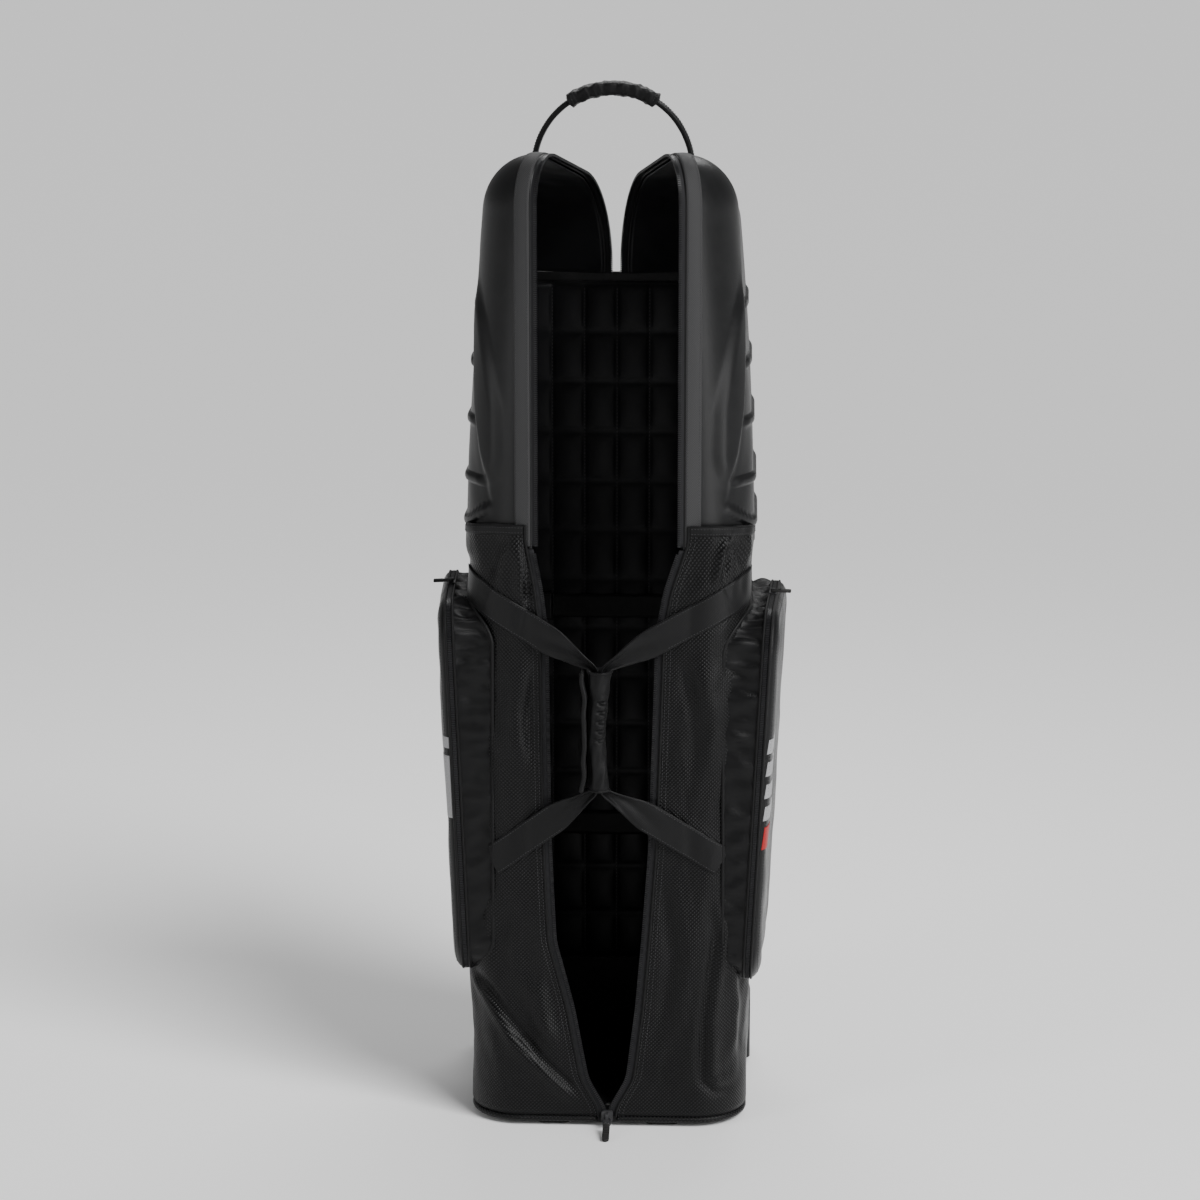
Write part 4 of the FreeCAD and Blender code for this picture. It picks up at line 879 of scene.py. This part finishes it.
def seated_pocket(side, out, y, z):
    """Places (out, y, z), with y and z about the pocket's middle, on the leaning pocket."""
    x, y, z = out - POCKET_OUT - 0.018, np.asarray(y), np.asarray(z) - POCKET_HALF_Z + 0.002
    x, z = (x * math.cos(POCKET_TILT[side]) + z * math.sin(POCKET_TILT[side]),
            z * math.cos(POCKET_TILT[side]) - x * math.sin(POCKET_TILT[side]))
    x, y = (x * math.cos(POCKET_TURN) + y * math.sin(POCKET_TURN),
            y * math.cos(POCKET_TURN) - x * math.sin(POCKET_TURN))
    x, y, z = np.broadcast_arrays((x + POCKET_OUT + 0.018) * side, y + POCKET_MIDDLE_Y,
                                  z + POCKET_LOW[side] + 2 * POCKET_HALF_Z - 0.002)
    return spread(x, y, z)


def pocket_path(side, out, grow):
    """A loop round the pocket at one distance out, grown beyond the outline, and its directions."""
    spots, ways = outline(-grow)
    path = seated_pocket(side, out, spots[:, 0], spots[:, 1])
    return path, seated_pocket(side, out, spots[:, 0] + ways[:, 0], spots[:, 1] + ways[:, 1]) - path


def panel_out(side, y, z):
    """How far out the dished panel stands at (y, z) about the pocket's middle."""
    far_y = np.abs(y) - POCKET_HALF_Y + POCKET_CORNER
    far_z = np.abs(z) - POCKET_HALF_Z + POCKET_CORNER
    inside = -rounded_join(far_y - POCKET_CORNER, far_z - POCKET_CORNER, POCKET_CORNER)
    rise = np.sqrt(1 - (1 - np.clip(inside / 0.024, 0, 1)) ** 2)
    spot = spread(y, z * 0.7, side * 3.0)
    loose = step(inside, 0.002, 0.03)
    crumple = 0.0012 * waves(spot, 0.085, 41) + 0.0005 * waves(spot, 0.03, 42)
    crumple = crumple + step(z, 0.13, 0.23) * (0.0018 * waves(spot, 0.045, 43) - 0.002)
    slump = -0.0022 * np.exp(-((z + 0.03) / 0.15) ** 2) * step(inside, 0.03, 0.11)
    return OUT_TAPE_OUT + PANEL_RISE * rise + (crumple + slump) * loose


pocket_cloth = woven("pocket_polyester", (0.0030, 0.0030, 0.0032), (0.0085, 0.0085, 0.009), 0.33,
                     0.0013, 0.00018, diamond=False)
patch_print = woven("pale_print", (0.22, 0.22, 0.225), (0.46, 0.46, 0.47), 0.5, 0.0012, 0.00005,
                    mottle=0.3)
red_print = woven("red_print", (0.25, 0.012, 0.012), (0.45, 0.03, 0.03), 0.5, 0.0012, 0.00005,
                  mottle=0.3)
for side, label in ((-1, "left"), (1, "right")):
    # gusset: each row lies a share of the way from the body's side out to the belt
    spots, ways = outline(0.0)
    far = seated_pocket(side, OUT_TAPE_IN, spots[:, 0], spots[:, 1])
    base = far.copy()
    front_bend = np.clip(FRONT + CORNER - far[:, 1], 0, CORNER)
    rear_bend = np.clip(far[:, 1] - BODY_BACK + REAR_CORNER, 0, REAR_CORNER)
    base[:, 0] = side * (BODY_HALF - 0.002 - (CORNER - np.sqrt(CORNER ** 2 - front_bend ** 2))
                         - (REAR_CORNER - np.sqrt(REAR_CORNER ** 2 - rear_bend ** 2)))
    share = np.linspace(0, 1, 22)
    points = base[None] * (1 - share[:, None, None]) + far[None] * share[:, None, None]
    length = run_along(far)
    turn = 2 * np.pi * length / length[-1]
    spot = spread(np.cos(turn) * 0.23, np.sin(turn) * 0.23, np.abs(points[..., 0]) * 0.35)
    high = step(spots[:, 1], 0.10, 0.20)
    crinkle = (0.0030 + 0.0022 * high) * waves(spot, 0.024, 51 + side)
    crinkle = crinkle + 0.0016 * waves(spot, 0.011, 53 + side)
    held_at_ends = np.sin(np.pi * np.clip(share * 0.96 + 0.02, 0, 1))[:, None] ** 0.7
    crinkle = (crinkle - 0.0035 * high) * held_at_ends
    way = spread(0 * ways[:, 0], ways[:, 0], ways[:, 1])
    points = points + crinkle[..., None] * way
    lengths = spread(length[None], np.abs(points[..., 0]))
    gusset = walled(laid_grid(f"pocket_gusset_cloth_{label}", points, lengths,
                              np.broadcast_to(way, points.shape)), 0.0012)
    fitted(gusset, pocket_cloth, "pocket_cloth", "case", f"pocket_gusset_{label}")

    # belt: tape, teeth between two bound edges, and the piped seam on the body
    widths = np.linspace(OUT_TAPE_IN, OUT_TAPE_OUT, 6)
    rings = [pocket_path(side, out, 0.0002) for out in widths]
    points, outward = np.stack([ring[0] for ring in rings]), np.stack([ring[1] for ring in rings])
    lengths = spread(length[None], widths[:, None])
    belt = walled(laid_grid(f"pocket_tape_{label}", points, lengths, outward), TAPE_WALL)
    fitted(belt, tape_weave, "zip", "case", f"pocket_zip_{label}")
    path, outward = pocket_path(side, OUT_TEETH, 0.0010)
    teeth = row_of(f"pocket_teeth_{label}", path, outward, 0.0024, (0.0015, 0.0050, 0.0018))
    fitted(teeth, tooth_plastic, "zip", "case")
    for row, out in (("inner", OUT_TAPE_IN), ("outer", OUT_TAPE_OUT)):
        path, outward = pocket_path(side, out, 0.0010)
        fitted(bead_along(f"pocket_piping_{row}_{label}", path, outward, 0.0018), hem_weave,
               "pocket_cloth", "case")
    path = base + 0.0008 * way
    path[:, 0] += side * 0.0022
    fitted(bead_along(f"pocket_seam_{label}", path, way, 0.0024), hem_weave,
           "pocket_cloth", "case")

    # dished outer panel, in rings from its edge to its middle line
    insets = np.concatenate([0.022 * (1 - np.cos(np.linspace(0, np.pi / 2, 12))),
                             np.linspace(0.022, POCKET_HALF_Y, 34)[1:]])
    rings = []
    for inset in insets:
        y, z = outline(float(inset))[0].T
        rings.append(seated_pocket(side, panel_out(side, y, z), y, z))
    points = np.stack(rings)
    lengths = spread(points[..., 1], points[..., 2])
    panel = walled(laid_grid(f"pocket_panel_{label}", points, lengths,
                             facing((side, 0, 0), points), merge=1e-4), 0.0024)
    fitted(panel, pocket_cloth, "pocket_cloth", "case", f"pocket_door_{label}")
    y, z = outline(0.0075)[0].T
    path = seated_pocket(side, panel_out(side, y, z) + 0.0002, y, z)
    seam = stitches(f"panel_stitches_{label}", path, facing((side, 0, 0), path), 0.0042, 0.0029, 0.0009)
    fitted(seam, thread, "pocket_cloth", "case")


def printed(name, side, low, high, front, rear, slant, finish):
    """A flat printed patch that follows the outer panel, between two heights and two depths."""
    z, y = np.meshgrid(np.linspace(low, high, 24), np.linspace(front, rear, 16), indexing="ij")
    y = y + slant * (z - low)
    points = seated_pocket(side, panel_out(side, y, z) + 0.0005, y, z)
    patch = laid_grid(name, points, spread(y, z), facing((side, 0, 0), points))
    fitted(walled(patch, 0.0004), finish, "pocket_cloth", "case")


# plain printed bars stand where the real pockets carry lettering
BAR_HEIGHTS = ((0.067, 0.086), (0.037, 0.056), (0.007, 0.026), (-0.023, -0.004))
for number, (low, high) in enumerate(BAR_HEIGHTS):
    printed(f"pale_bar_{number + 1}", 1, low, high, -0.1345, -0.052, 0.10, patch_print)
printed("red_bar", 1, -0.062, -0.032, -0.1345, -0.100, 0.10, red_print)
printed("pale_patch_large", -1, -0.033, 0.051, -0.1355, -0.112, 0.0, patch_print)
printed("pale_patch_small", -1, 0.061, 0.076, -0.1355, -0.118, 0.0, patch_print)

# ---- Carry handle ------------------------------------------------------------------------------
# Two loops of 38 mm webbing come from the pocket seams, meet over the slit and run together
# through a padded wrap, whose loose edge is folded over and stitched. Each arm folds in half there.
GRIP_LOW, GRIP_HIGH = (corner.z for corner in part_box("carry_grip"))
GRIP_Y = (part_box("carry_grip")[0].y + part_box("carry_grip")[1].y) / 2
ROLL_X, ROLL_HIGH, RUN_X, TOUCH_X = -0.0095, GRIP_HIGH - 0.009, 0.0065, 0.108
WEB_HALF = 0.019                                             # half the width of the webbing


def strap_places(side, x, z, lift):
    """Points on an arm at (x, z) seen from the front: free near the grip, then lying on the cloth."""
    past_flat = x - BODY_HALF + CORNER
    u = np.where(x > BODY_HALF - CORNER, CORNER * np.arcsin(np.clip(past_flat / CORNER, 0, 0.999)),
                 past_flat)
    laid, _ = cloth_surface(side, u, z, lift=0.0014 + lift)
    inner = side * ROLL_X + RUN_X
    share = np.clip((x - inner) / (TOUCH_X - inner), 0, 1)
    free_y = GRIP_Y + 0.004 + (FRONT - 0.0022 - GRIP_Y - 0.004) * share - lift
    held = step(x, TOUCH_X - 0.012, TOUCH_X + 0.008)
    return spread(np.where(x > TOUCH_X, laid[..., 0], x * side),
                  free_y * (1 - held) + laid[..., 1] * held, z)


webbing = woven("smooth_webbing", (0.0035, 0.0035, 0.0037), (0.0110, 0.0110, 0.0115), 0.38,
                0.0017, 0.00022, diamond=False)
for side, label in ((-1, "left"), (1, "right")):
    inner = side * ROLL_X + RUN_X
    for arm, anchor, start_z, turn_z in (
            ("upper", ARMS[side][0], ROLL_HIGH - 0.014, ROLL_HIGH + 0.003),
            ("lower", ARMS[side][1], GRIP_LOW + 0.014, GRIP_LOW - 0.003)):
        corners = np.array([(inner, start_z), (inner, turn_z), anchor])
        share = np.concatenate([np.linspace(0, 1, 16)[:-1], 1 + np.linspace(0, 1.10, 124)])
        middle = np.stack([np.interp(share, (0, 1, 2), corners[:, axis]) for axis in (0, 1)], axis=1)
        middle[share > 2] = corners[2] + (share[share > 2] - 2)[:, None] * (corners[2] - corners[1])
        smooth = np.pad(middle, ((5, 5), (0, 0)), "edge")
        smooth = np.stack([np.convolve(part, np.ones(11) / 11, "valid") for part in smooth.T],
                          axis=1)
        heading = np.gradient(smooth, axis=0)
        heading /= np.linalg.norm(heading, axis=1, keepdims=True)
        length = run_along(smooth)
        open_out = step(length, 0.010, 0.085)
        across = np.linspace(-1, 1, 15)
        half = WEB_HALF * (0.26 + 0.74 * open_out)
        x = smooth[:, :1] - heading[:, 1:] * across * half[:, None]
        z = smooth[:, 1:] + heading[:, :1] * across * half[:, None]
        trough = 0.0080 * (1 - open_out)[:, None] * (across ** 2 - 0.4)
        ripple = 0.0010 * np.sin(across * 5 + length[:, None] * 60)
        ripple = ripple * (1 - step(length, 0.05, 0.13))[:, None]
        points = strap_places(side, x, z, trough + ripple)
        lengths = spread(length[:, None], across * WEB_HALF)
        strap = walled(laid_grid(f"carry_arm_{arm}_{label}", points, lengths,
                                 facing((0, -1, 0), points)), 0.0020, offset=0)
        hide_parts(f"carry_web_{label}")
        following(strap, webbing, "webbing", label)
        for row, column in (("low", 1), ("high", 13)):
            path = points[60:, column] + (0, -0.0012, 0)
            outward = facing((side * 0.3, -1, 0), path)
            seam = stitches(f"arm_stitches_{arm}_{row}_{label}", path, outward, 0.0040, 0.0028, 0.0008)
            following(seam, thread, "webbing", label)

grip_cloth = woven("grip_cloth", (0.0032, 0.0032, 0.0034), (0.010, 0.010, 0.0105), 0.45, 0.0012, 0.0002)
wrap_z = np.linspace(GRIP_LOW + 0.001, ROLL_HIGH, 110)
along = (wrap_z - GRIP_LOW) / (ROLL_HIGH - GRIP_LOW)
turn = np.linspace(-1.75 * math.pi, 0.5 * math.pi, 120)
fold, FOLD_R = np.linspace(0.15, 1.571, 10), 0.006             # the flap turns back on itself
flap_x = np.concatenate([-0.0120 * np.linspace(0.1, 1, 10), -0.0120 - FOLD_R * np.sin(fold),
                         np.full(16, -0.018)])
flap_y = np.concatenate([np.zeros(10), FOLD_R * (np.cos(fold) - 1),
                         -FOLD_R - np.linspace(0.0015, 0.022, 16)])
roll_r = (np.interp(along, (0, 0.12, 0.45, 0.8, 1), (0.0138, 0.0134, 0.0126, 0.0136, 0.0162))[:, None]
          + 0.0022 * np.linspace(-1, 0, len(turn)))
spot = spread(np.cos(turn) * 0.019, np.sin(turn) * 0.019, wrap_z[:, None] * 0.6)
roll_r = roll_r + 0.0009 * waves(spot, 0.012, 61) * (turn > -1.6 * math.pi)
right_front = np.exp(-(np.angle(np.exp(1j * (turn + 0.95))) / 0.62) ** 2)
gathered = step(along, 0.36, 0.46) * (1 - step(along, 0.74, 0.84))
claws = np.maximum(np.sin(wrap_z[:, None] * 2 * math.pi / 0.0125 + 1.6 * np.cos(turn + 0.95)), -0.25)
roll_r = roll_r - 0.0048 * right_front * gathered[:, None] * claws
bent = ROLL_X - 0.0042 * np.exp(-((along - 0.42) / 0.30) ** 2)[:, None]
bowed = (0.0030 - 0.0034 * np.abs(2 * along - 1) ** 2)[:, None]
over = 0.0014 * waves(spread(along * 0.16, along * 0, along * 0), 0.03, 62)[:, None]
flap_x = ROLL_X + flap_x + bowed + over - 0.0030
points = spread(np.concatenate([bent + roll_r * np.cos(turn), flap_x], axis=1),
                GRIP_Y + np.concatenate([roll_r * np.sin(turn), roll_r[:, -1:] + flap_y], axis=1),
                wrap_z[:, None])
heading = np.gradient(points, axis=1)
spoke = spread(heading[..., 1], -heading[..., 0], 0 * heading[..., 0])
spoke /= np.linalg.norm(spoke, axis=2, keepdims=True)
wrap_length = np.cumsum(np.linalg.norm(heading, axis=2), axis=1)
lengths = spread(wrap_length, points[..., 2])
wrap = walled(laid_grid("carry_wrap", points, lengths, spoke), 0.0026)
fitted(wrap, grip_cloth, "grip", "case", "carry_grip")
fitted(bead_along("wrap_edge", points[:, -1], spoke[:, -1], 0.0030), hem_weave, "grip", "case")
for name, row in (("wrap_foot", 0), ("wrap_head", -1)):
    fitted(bead_along(name, points[row], spoke[row], 0.0017), hem_weave, "grip", "case")
path, outward = points[3:-3, -6], spoke[3:-3, -6]
fitted(stitches("wrap_stitches", path + outward * 0.0003, outward, 0.0038, 0.0027, 0.0009), thread,
       "grip", "case")

# ---- Bail handle -------------------------------------------------------------------------------
# A doubled strap bowed over the crown, with a crinkled padded sleeve at its top. Its ends are
# clamped in moulded caps that turn on pins in two brackets riveted to the back board.
web_low, web_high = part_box("handle_web")
BOW_X, BOW_Y = (web_low.x + web_high.x) / 2, (web_low.y + web_high.y) / 2
BOW_R = (web_high.x - web_low.x) / 2 - 0.0035
BOW_Z = web_high.z - 0.0035 - BOW_R
BACKWARDS = np.array((0.0, 1.0, 0.0))


def bow(angle, drop=0.0):
    """Points on the bow's middle line and its outward directions, straight down below drop."""
    spoke = np.stack([np.cos(angle), 0 * angle, np.sin(angle)], axis=1)
    path = (BOW_X, BOW_Y, BOW_Z) + BOW_R * spoke
    path[:, 2] -= drop
    return path, spoke


def flat_tube(name, path, spoke, half_thick, half_wide, relief, sides=28):
    """A strap or padded sleeve with a rounded flat section, closed at both ends."""
    turn = np.linspace(0, 2 * math.pi, sides + 1)
    thick, wide = np.cos(turn), np.sin(turn)
    thick, wide = np.sign(thick) * np.abs(thick) ** 0.45, np.sign(wide) * np.abs(wide) ** 0.45
    points = (path[:, None] + spoke[:, None] * (thick * half_thick[:, None])[..., None]
              + BACKWARDS * (wide * half_wide[:, None])[..., None])
    outward = spoke[:, None] * thick[None, :, None] + BACKWARDS * wide[None, :, None]
    points = points + outward * relief(points)[..., None]
    length = run_along(path)
    round_it = run_along(points[len(path) // 2])
    lengths = spread(length[:, None], round_it[None])
    return laid_grid(name, points, lengths, outward, capped=True)


leg = np.linspace(BOW_Z - web_low.z, 0, 22)[:-1]
arc_path, arc_spoke = bow(np.linspace(math.pi, 0, 110))
left_path, left_spoke = bow(np.full(len(leg), math.pi), leg)
right_path, right_spoke = bow(np.zeros(len(leg)), leg[::-1])
path = np.concatenate([left_path, arc_path, right_path])
spoke = np.concatenate([left_spoke, arc_spoke, right_spoke])
strap = flat_tube("bail_strap", path, spoke, np.full(len(path), 0.0038), np.full(len(path), 0.0132),
                  lambda at: 0.0002 * waves(at, 0.02, 71))
fitted(strap, webbing, "webbing", "bail_handle", "handle_web")
for row, offset in (("front", -0.0103), ("back", 0.0103)):
    seam = stitches(f"bail_stitches_{row}", path + (0, offset, 0) + spoke * 0.0039, spoke,
                    0.0040, 0.0028, 0.0009)
    fitted(seam, thread, "webbing", "bail_handle")
path, spoke = bow(np.radians(np.linspace(124, 56, 120)))
closing = step(np.abs(np.linspace(-1, 1, len(path))), 0.955, 1.0)


def sleeve_crinkle(at):
    """The crinkled surface of the padded sleeve."""
    return 0.0011 * waves(at * (1, 0.5, 1), 0.013, 72) + 0.0005 * waves(at, 0.006, 73)


sleeve = flat_tube("bail_sleeve", path + spoke * 0.0008, spoke, 0.0096 * (1 - 0.5 * closing),
                   0.0175 * (1 - 0.12 * closing), sleeve_crinkle, sides=44)
fitted(sleeve, grip_cloth, "grip", "bail_handle", "handle_grip")
for end in (6, -7):
    ring = np.linspace(0, 2 * math.pi, 40)
    hoop = (path[end] + spoke[end] * 0.0008 + np.cos(ring)[:, None] * spoke[end] * 0.0098
            + BACKWARDS * (np.sin(ring) * 0.0178)[:, None])
    seam = stitches(f"sleeve_stitches_{'left' if end > 0 else 'right'}", hoop, hoop - path[end],
                    0.0034, 0.0024, 0.0009)
    fitted(seam, thread, "grip", "bail_handle")

# ---- Base, board and wheels --------------------------------------------------------------------
# A moulded tray under the cloth carries two rubber-capped feet at the front and a wheel well at
# each rear corner. Skid rails are screwed to the rigid board that forms the back.
board_skin = moulded("pebbled_board", (0.009, 0.009, 0.0095), (0.022, 0.022, 0.023), 0.45,
                     0.0016, 0.0003)
tray_skin = moulded("base_plastic", (0.008, 0.008, 0.0085), (0.028, 0.028, 0.029), 0.42,
                    0.0010, 0.0002)
rubber = moulded("grey_rubber", (0.012, 0.012, 0.012), (0.04, 0.038, 0.036), 0.62, 0.0007, 0.00015)
hub_plastic = moulded("hub_plastic", (0.02, 0.02, 0.021), (0.05, 0.05, 0.052), 0.32, 0.0014, 0.00008)
felt = moulded("floor_felt", (0.007, 0.007, 0.0075), (0.018, 0.018, 0.019), 0.8, 0.0008, 0.0004)
buckle_plastic = moulded("buckle_plastic", (0.008, 0.008, 0.0085), (0.016, 0.016, 0.017), 0.3,
                         0.0012, 0.00006)
black_metal = moulded("black_lacquered_metal", (0.010, 0.010, 0.011), (0.05, 0.05, 0.052), 0.26,
                      0.0009, 0.00004, coat=0.4)
steel = moulded("plated_steel", (0.42, 0.42, 0.43), (0.30, 0.29, 0.28), 0.24, 0.0011, 0.00003)
steel.node_tree.nodes["Principled BSDF"].inputs["Metallic"].default_value = 1.0
# each slot's finish and the solids that keep their own shape
PLAIN_NODES = {
    "board": (board_skin, ["back_board"]),
    "tray": (tray_skin, ["base_tray"]),
    "housing": (tray_skin, ["wheel_housing_left", "wheel_housing_right", "skid_rails",
                            "handle_end_caps"]),
    "foot": (rubber, ["front_feet"]),
    "hub": (hub_plastic, ["wheel_hub_left", "wheel_hub_right"]),
    "steel": (steel, ["wheel_axles", "wheel_bearings_left", "wheel_bearings_right", "rail_screws",
                      "floor_rivets", "bracket_rivets"]),
    "black_metal": (black_metal, ["handle_brackets", "main_slider", "pocket_slider_left",
                                  "pocket_slider_right"]),
    "pull_rubber": (rubber, ["pocket_pull_left", "pocket_pull_right"]),
    "cloth": (felt, ["floor_board", "hinge_piping"]),
    "buckle": (buckle_plastic, ["buckle_sockets", "buckle_plugs"])}
for slot, (finish, names) in PLAIN_NODES.items():
    for name in names:
        frame["nodes"][name].data.materials.clear()
        frame["nodes"][name].data.materials.append(finish)

# each tyre is a moulded ring with two grooves round its tread
TREAD_R, GROOVE_R, RING_MIDDLE_R, BEAD_R, INNER_R = 0.0380, 0.0364, 0.0325, 0.0285, 0.0270
HALF_TYRE = [(0.0032, TREAD_R), (0.0036, GROOVE_R), (0.0048, GROOVE_R), (0.0052, TREAD_R),
             (0.0080, 0.0375), (0.0108, 0.0358), (0.0128, 0.0320), (0.0130, BEAD_R)]
TYRE_PROFILE = ([(-place, radius) for place, radius in HALF_TYRE[::-1]] + HALF_TYRE
                + [(0.0118, INNER_R), (-0.0118, INNER_R), (-0.0130, BEAD_R)])


def softened(piece, width):
    """Rounds the edges of a moulded piece a little."""
    edges = piece.modifiers.new("soft_edges", "BEVEL")
    edges.width, edges.segments = width, 2


for label in ("left", "right"):
    low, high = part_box(f"wheel_tyre_{label}")
    hub = (low + high) / 2
    profile, turn = np.array(TYRE_PROFILE), np.linspace(0, 2 * math.pi, 73)
    spoke = np.stack([0 * turn, np.cos(turn), np.sin(turn)], axis=1)
    points = np.array(hub) + profile[None, :, :1] * (1.0, 0.0, 0.0)
    points = points + spoke[:, None] * profile[None, :, 1:]
    middle = np.array(hub) + spoke[:, None] * RING_MIDDLE_R
    tyre = laid_grid(f"grooved_tyre_{label}", points, None, points - middle)
    softened(tyre, 0.0004)
    fitted(tyre, rubber, "wheel_rubber", f"{label}_wheel", f"wheel_tyre_{label}")

# ---- Inside fittings ---------------------------------------------------------------------------
# A foam pad quilted in channels is sewn to the board, and two tie-down straps with side-release
# buckles are sewn across it.
pad_low, pad_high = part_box("back_pad")
QUILT_X, QUILT_Z = (pad_high.x - pad_low.x) / 6, (pad_high.z - pad_low.z) / 14
x, z = np.meshgrid(np.linspace(pad_low.x, pad_high.x, 97), np.linspace(pad_low.z, pad_high.z, 225))
puff = np.abs(np.sin((x - pad_low.x) / QUILT_X * math.pi))
puff = (puff * np.abs(np.sin((z - pad_low.z) / QUILT_Z * math.pi))) ** 0.45
from_edge = np.minimum(np.minimum(x - pad_low.x, pad_high.x - x),
                       np.minimum(z - pad_low.z, pad_high.z - z))
crown = np.sqrt(1 - (1 - np.clip(from_edge / 0.010, 0, 1)) ** 2)
points = spread(x, pad_high.y - 0.0008 - (0.0045 + 0.0045 * puff) * crown, z)
pad = walled(laid_grid("quilted_pad", points, spread(x, z), facing((0, -1, 0), points)), 0.0006)
fitted(pad, satin, "foam_pad", "case", "back_pad")
seam_z = np.linspace(pad_low.z + 0.008, pad_high.z - 0.008, 60)
for number in range(1, 6):
    path = spread(pad_low.x + number * QUILT_X, pad_high.y - 0.0055, seam_z)
    seam = stitches(f"pad_stitches_{number}", path, facing((0, -1, 0), path), 0.0050, 0.0034, 0.0009)
    fitted(seam, thread, "foam_pad", "case")
tie_low, tie_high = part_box("tie_straps")
TIE_HALF = 0.016                                             # half the width of the straps
for row, level in (("lower", tie_low.z + TIE_HALF), ("upper", tie_high.z - TIE_HALF)):
    x, z = np.meshgrid(np.linspace(tie_low.x, tie_high.x, 90), np.linspace(-TIE_HALF, TIE_HALF, 9))
    points = spread(x, tie_high.y - 0.0004 + 0.0005 * np.sin(x * 70) - 0.0006, z + level)
    strap = walled(laid_grid(f"tie_strap_{row}", points, spread(x, z),
                             facing((0, -1, 0), points)), 0.0014, offset=0)
    fitted(strap, webbing, "webbing", "case", "tie_straps")

# ---- Main zip slider ---------------------------------------------------------------------------
# A cast slider parked at the foot of the slit, with a wire loop and a ribbed rubber tab that
# droops forwards. The loop turns in the slider's bridge.
pin_x, pin_y, pin_z = joints["zip_pull_lift"]["pos_m"]
DROOP = Matrix.Translation((pin_x, pin_y, pin_z)) @ Matrix.Rotation(math.radians(14.5), 4, "X")
LOOP_HALF_WIDE, LOOP_HALF_LONG, WIRE_R = 0.0046, 0.0085, 0.0011
TAB_SIZE, TAB_MIDDLE, TAB_ROUND = (0.0092, 0.0360, 0.0042, 1), -0.0315, 0.0040
TAB_RIB, FIRST_RIB, RIB_PITCH = (0.0072, 0.0014, 0.0054, 1), -0.0225, 0.0038
turn = np.linspace(0, 2 * math.pi, 41)[:-1]
along, beside = np.sin(turn), np.cos(turn)
loop = spread(LOOP_HALF_WIDE * np.sign(beside) * np.abs(beside) ** 0.5,
              -LOOP_HALF_LONG + LOOP_HALF_LONG * np.sign(along) * np.abs(along) ** 0.5, 0 * turn)
loop = np.array([DROOP @ Vector(spot) for spot in np.concatenate([loop, loop[:1]])])
ring = bead_along("pull_loop", loop, facing((0, -0.25, 0.97), loop), WIRE_R)
fitted(ring, black_metal, "black_metal", "zip_pull", "main_pull")
tab_form = bmesh.new()
bmesh.ops.create_cube(tab_form, size=1, matrix=Matrix.Translation((0, TAB_MIDDLE, 0))
                      @ Matrix.Diagonal(TAB_SIZE))
ends = [edge for edge in tab_form.edges if abs(edge.verts[0].co.z - edge.verts[1].co.z) > 0.001]
bmesh.ops.bevel(tab_form, geom=ends, offset=TAB_ROUND, segments=5, profile=0.5, affect="EDGES",
                material=-1)
for number in range(6):
    bmesh.ops.create_cube(tab_form, size=1, matrix=Matrix.Translation((0, FIRST_RIB - number * RIB_PITCH, 0))
                          @ Matrix.Diagonal(TAB_RIB))
bmesh.ops.transform(tab_form, matrix=DROOP, verts=tab_form.verts)
tab = placed("pull_tab", tab_form)
softened(tab, 0.0005)
fitted(tab, rubber, "pull_rubber", "zip_pull")
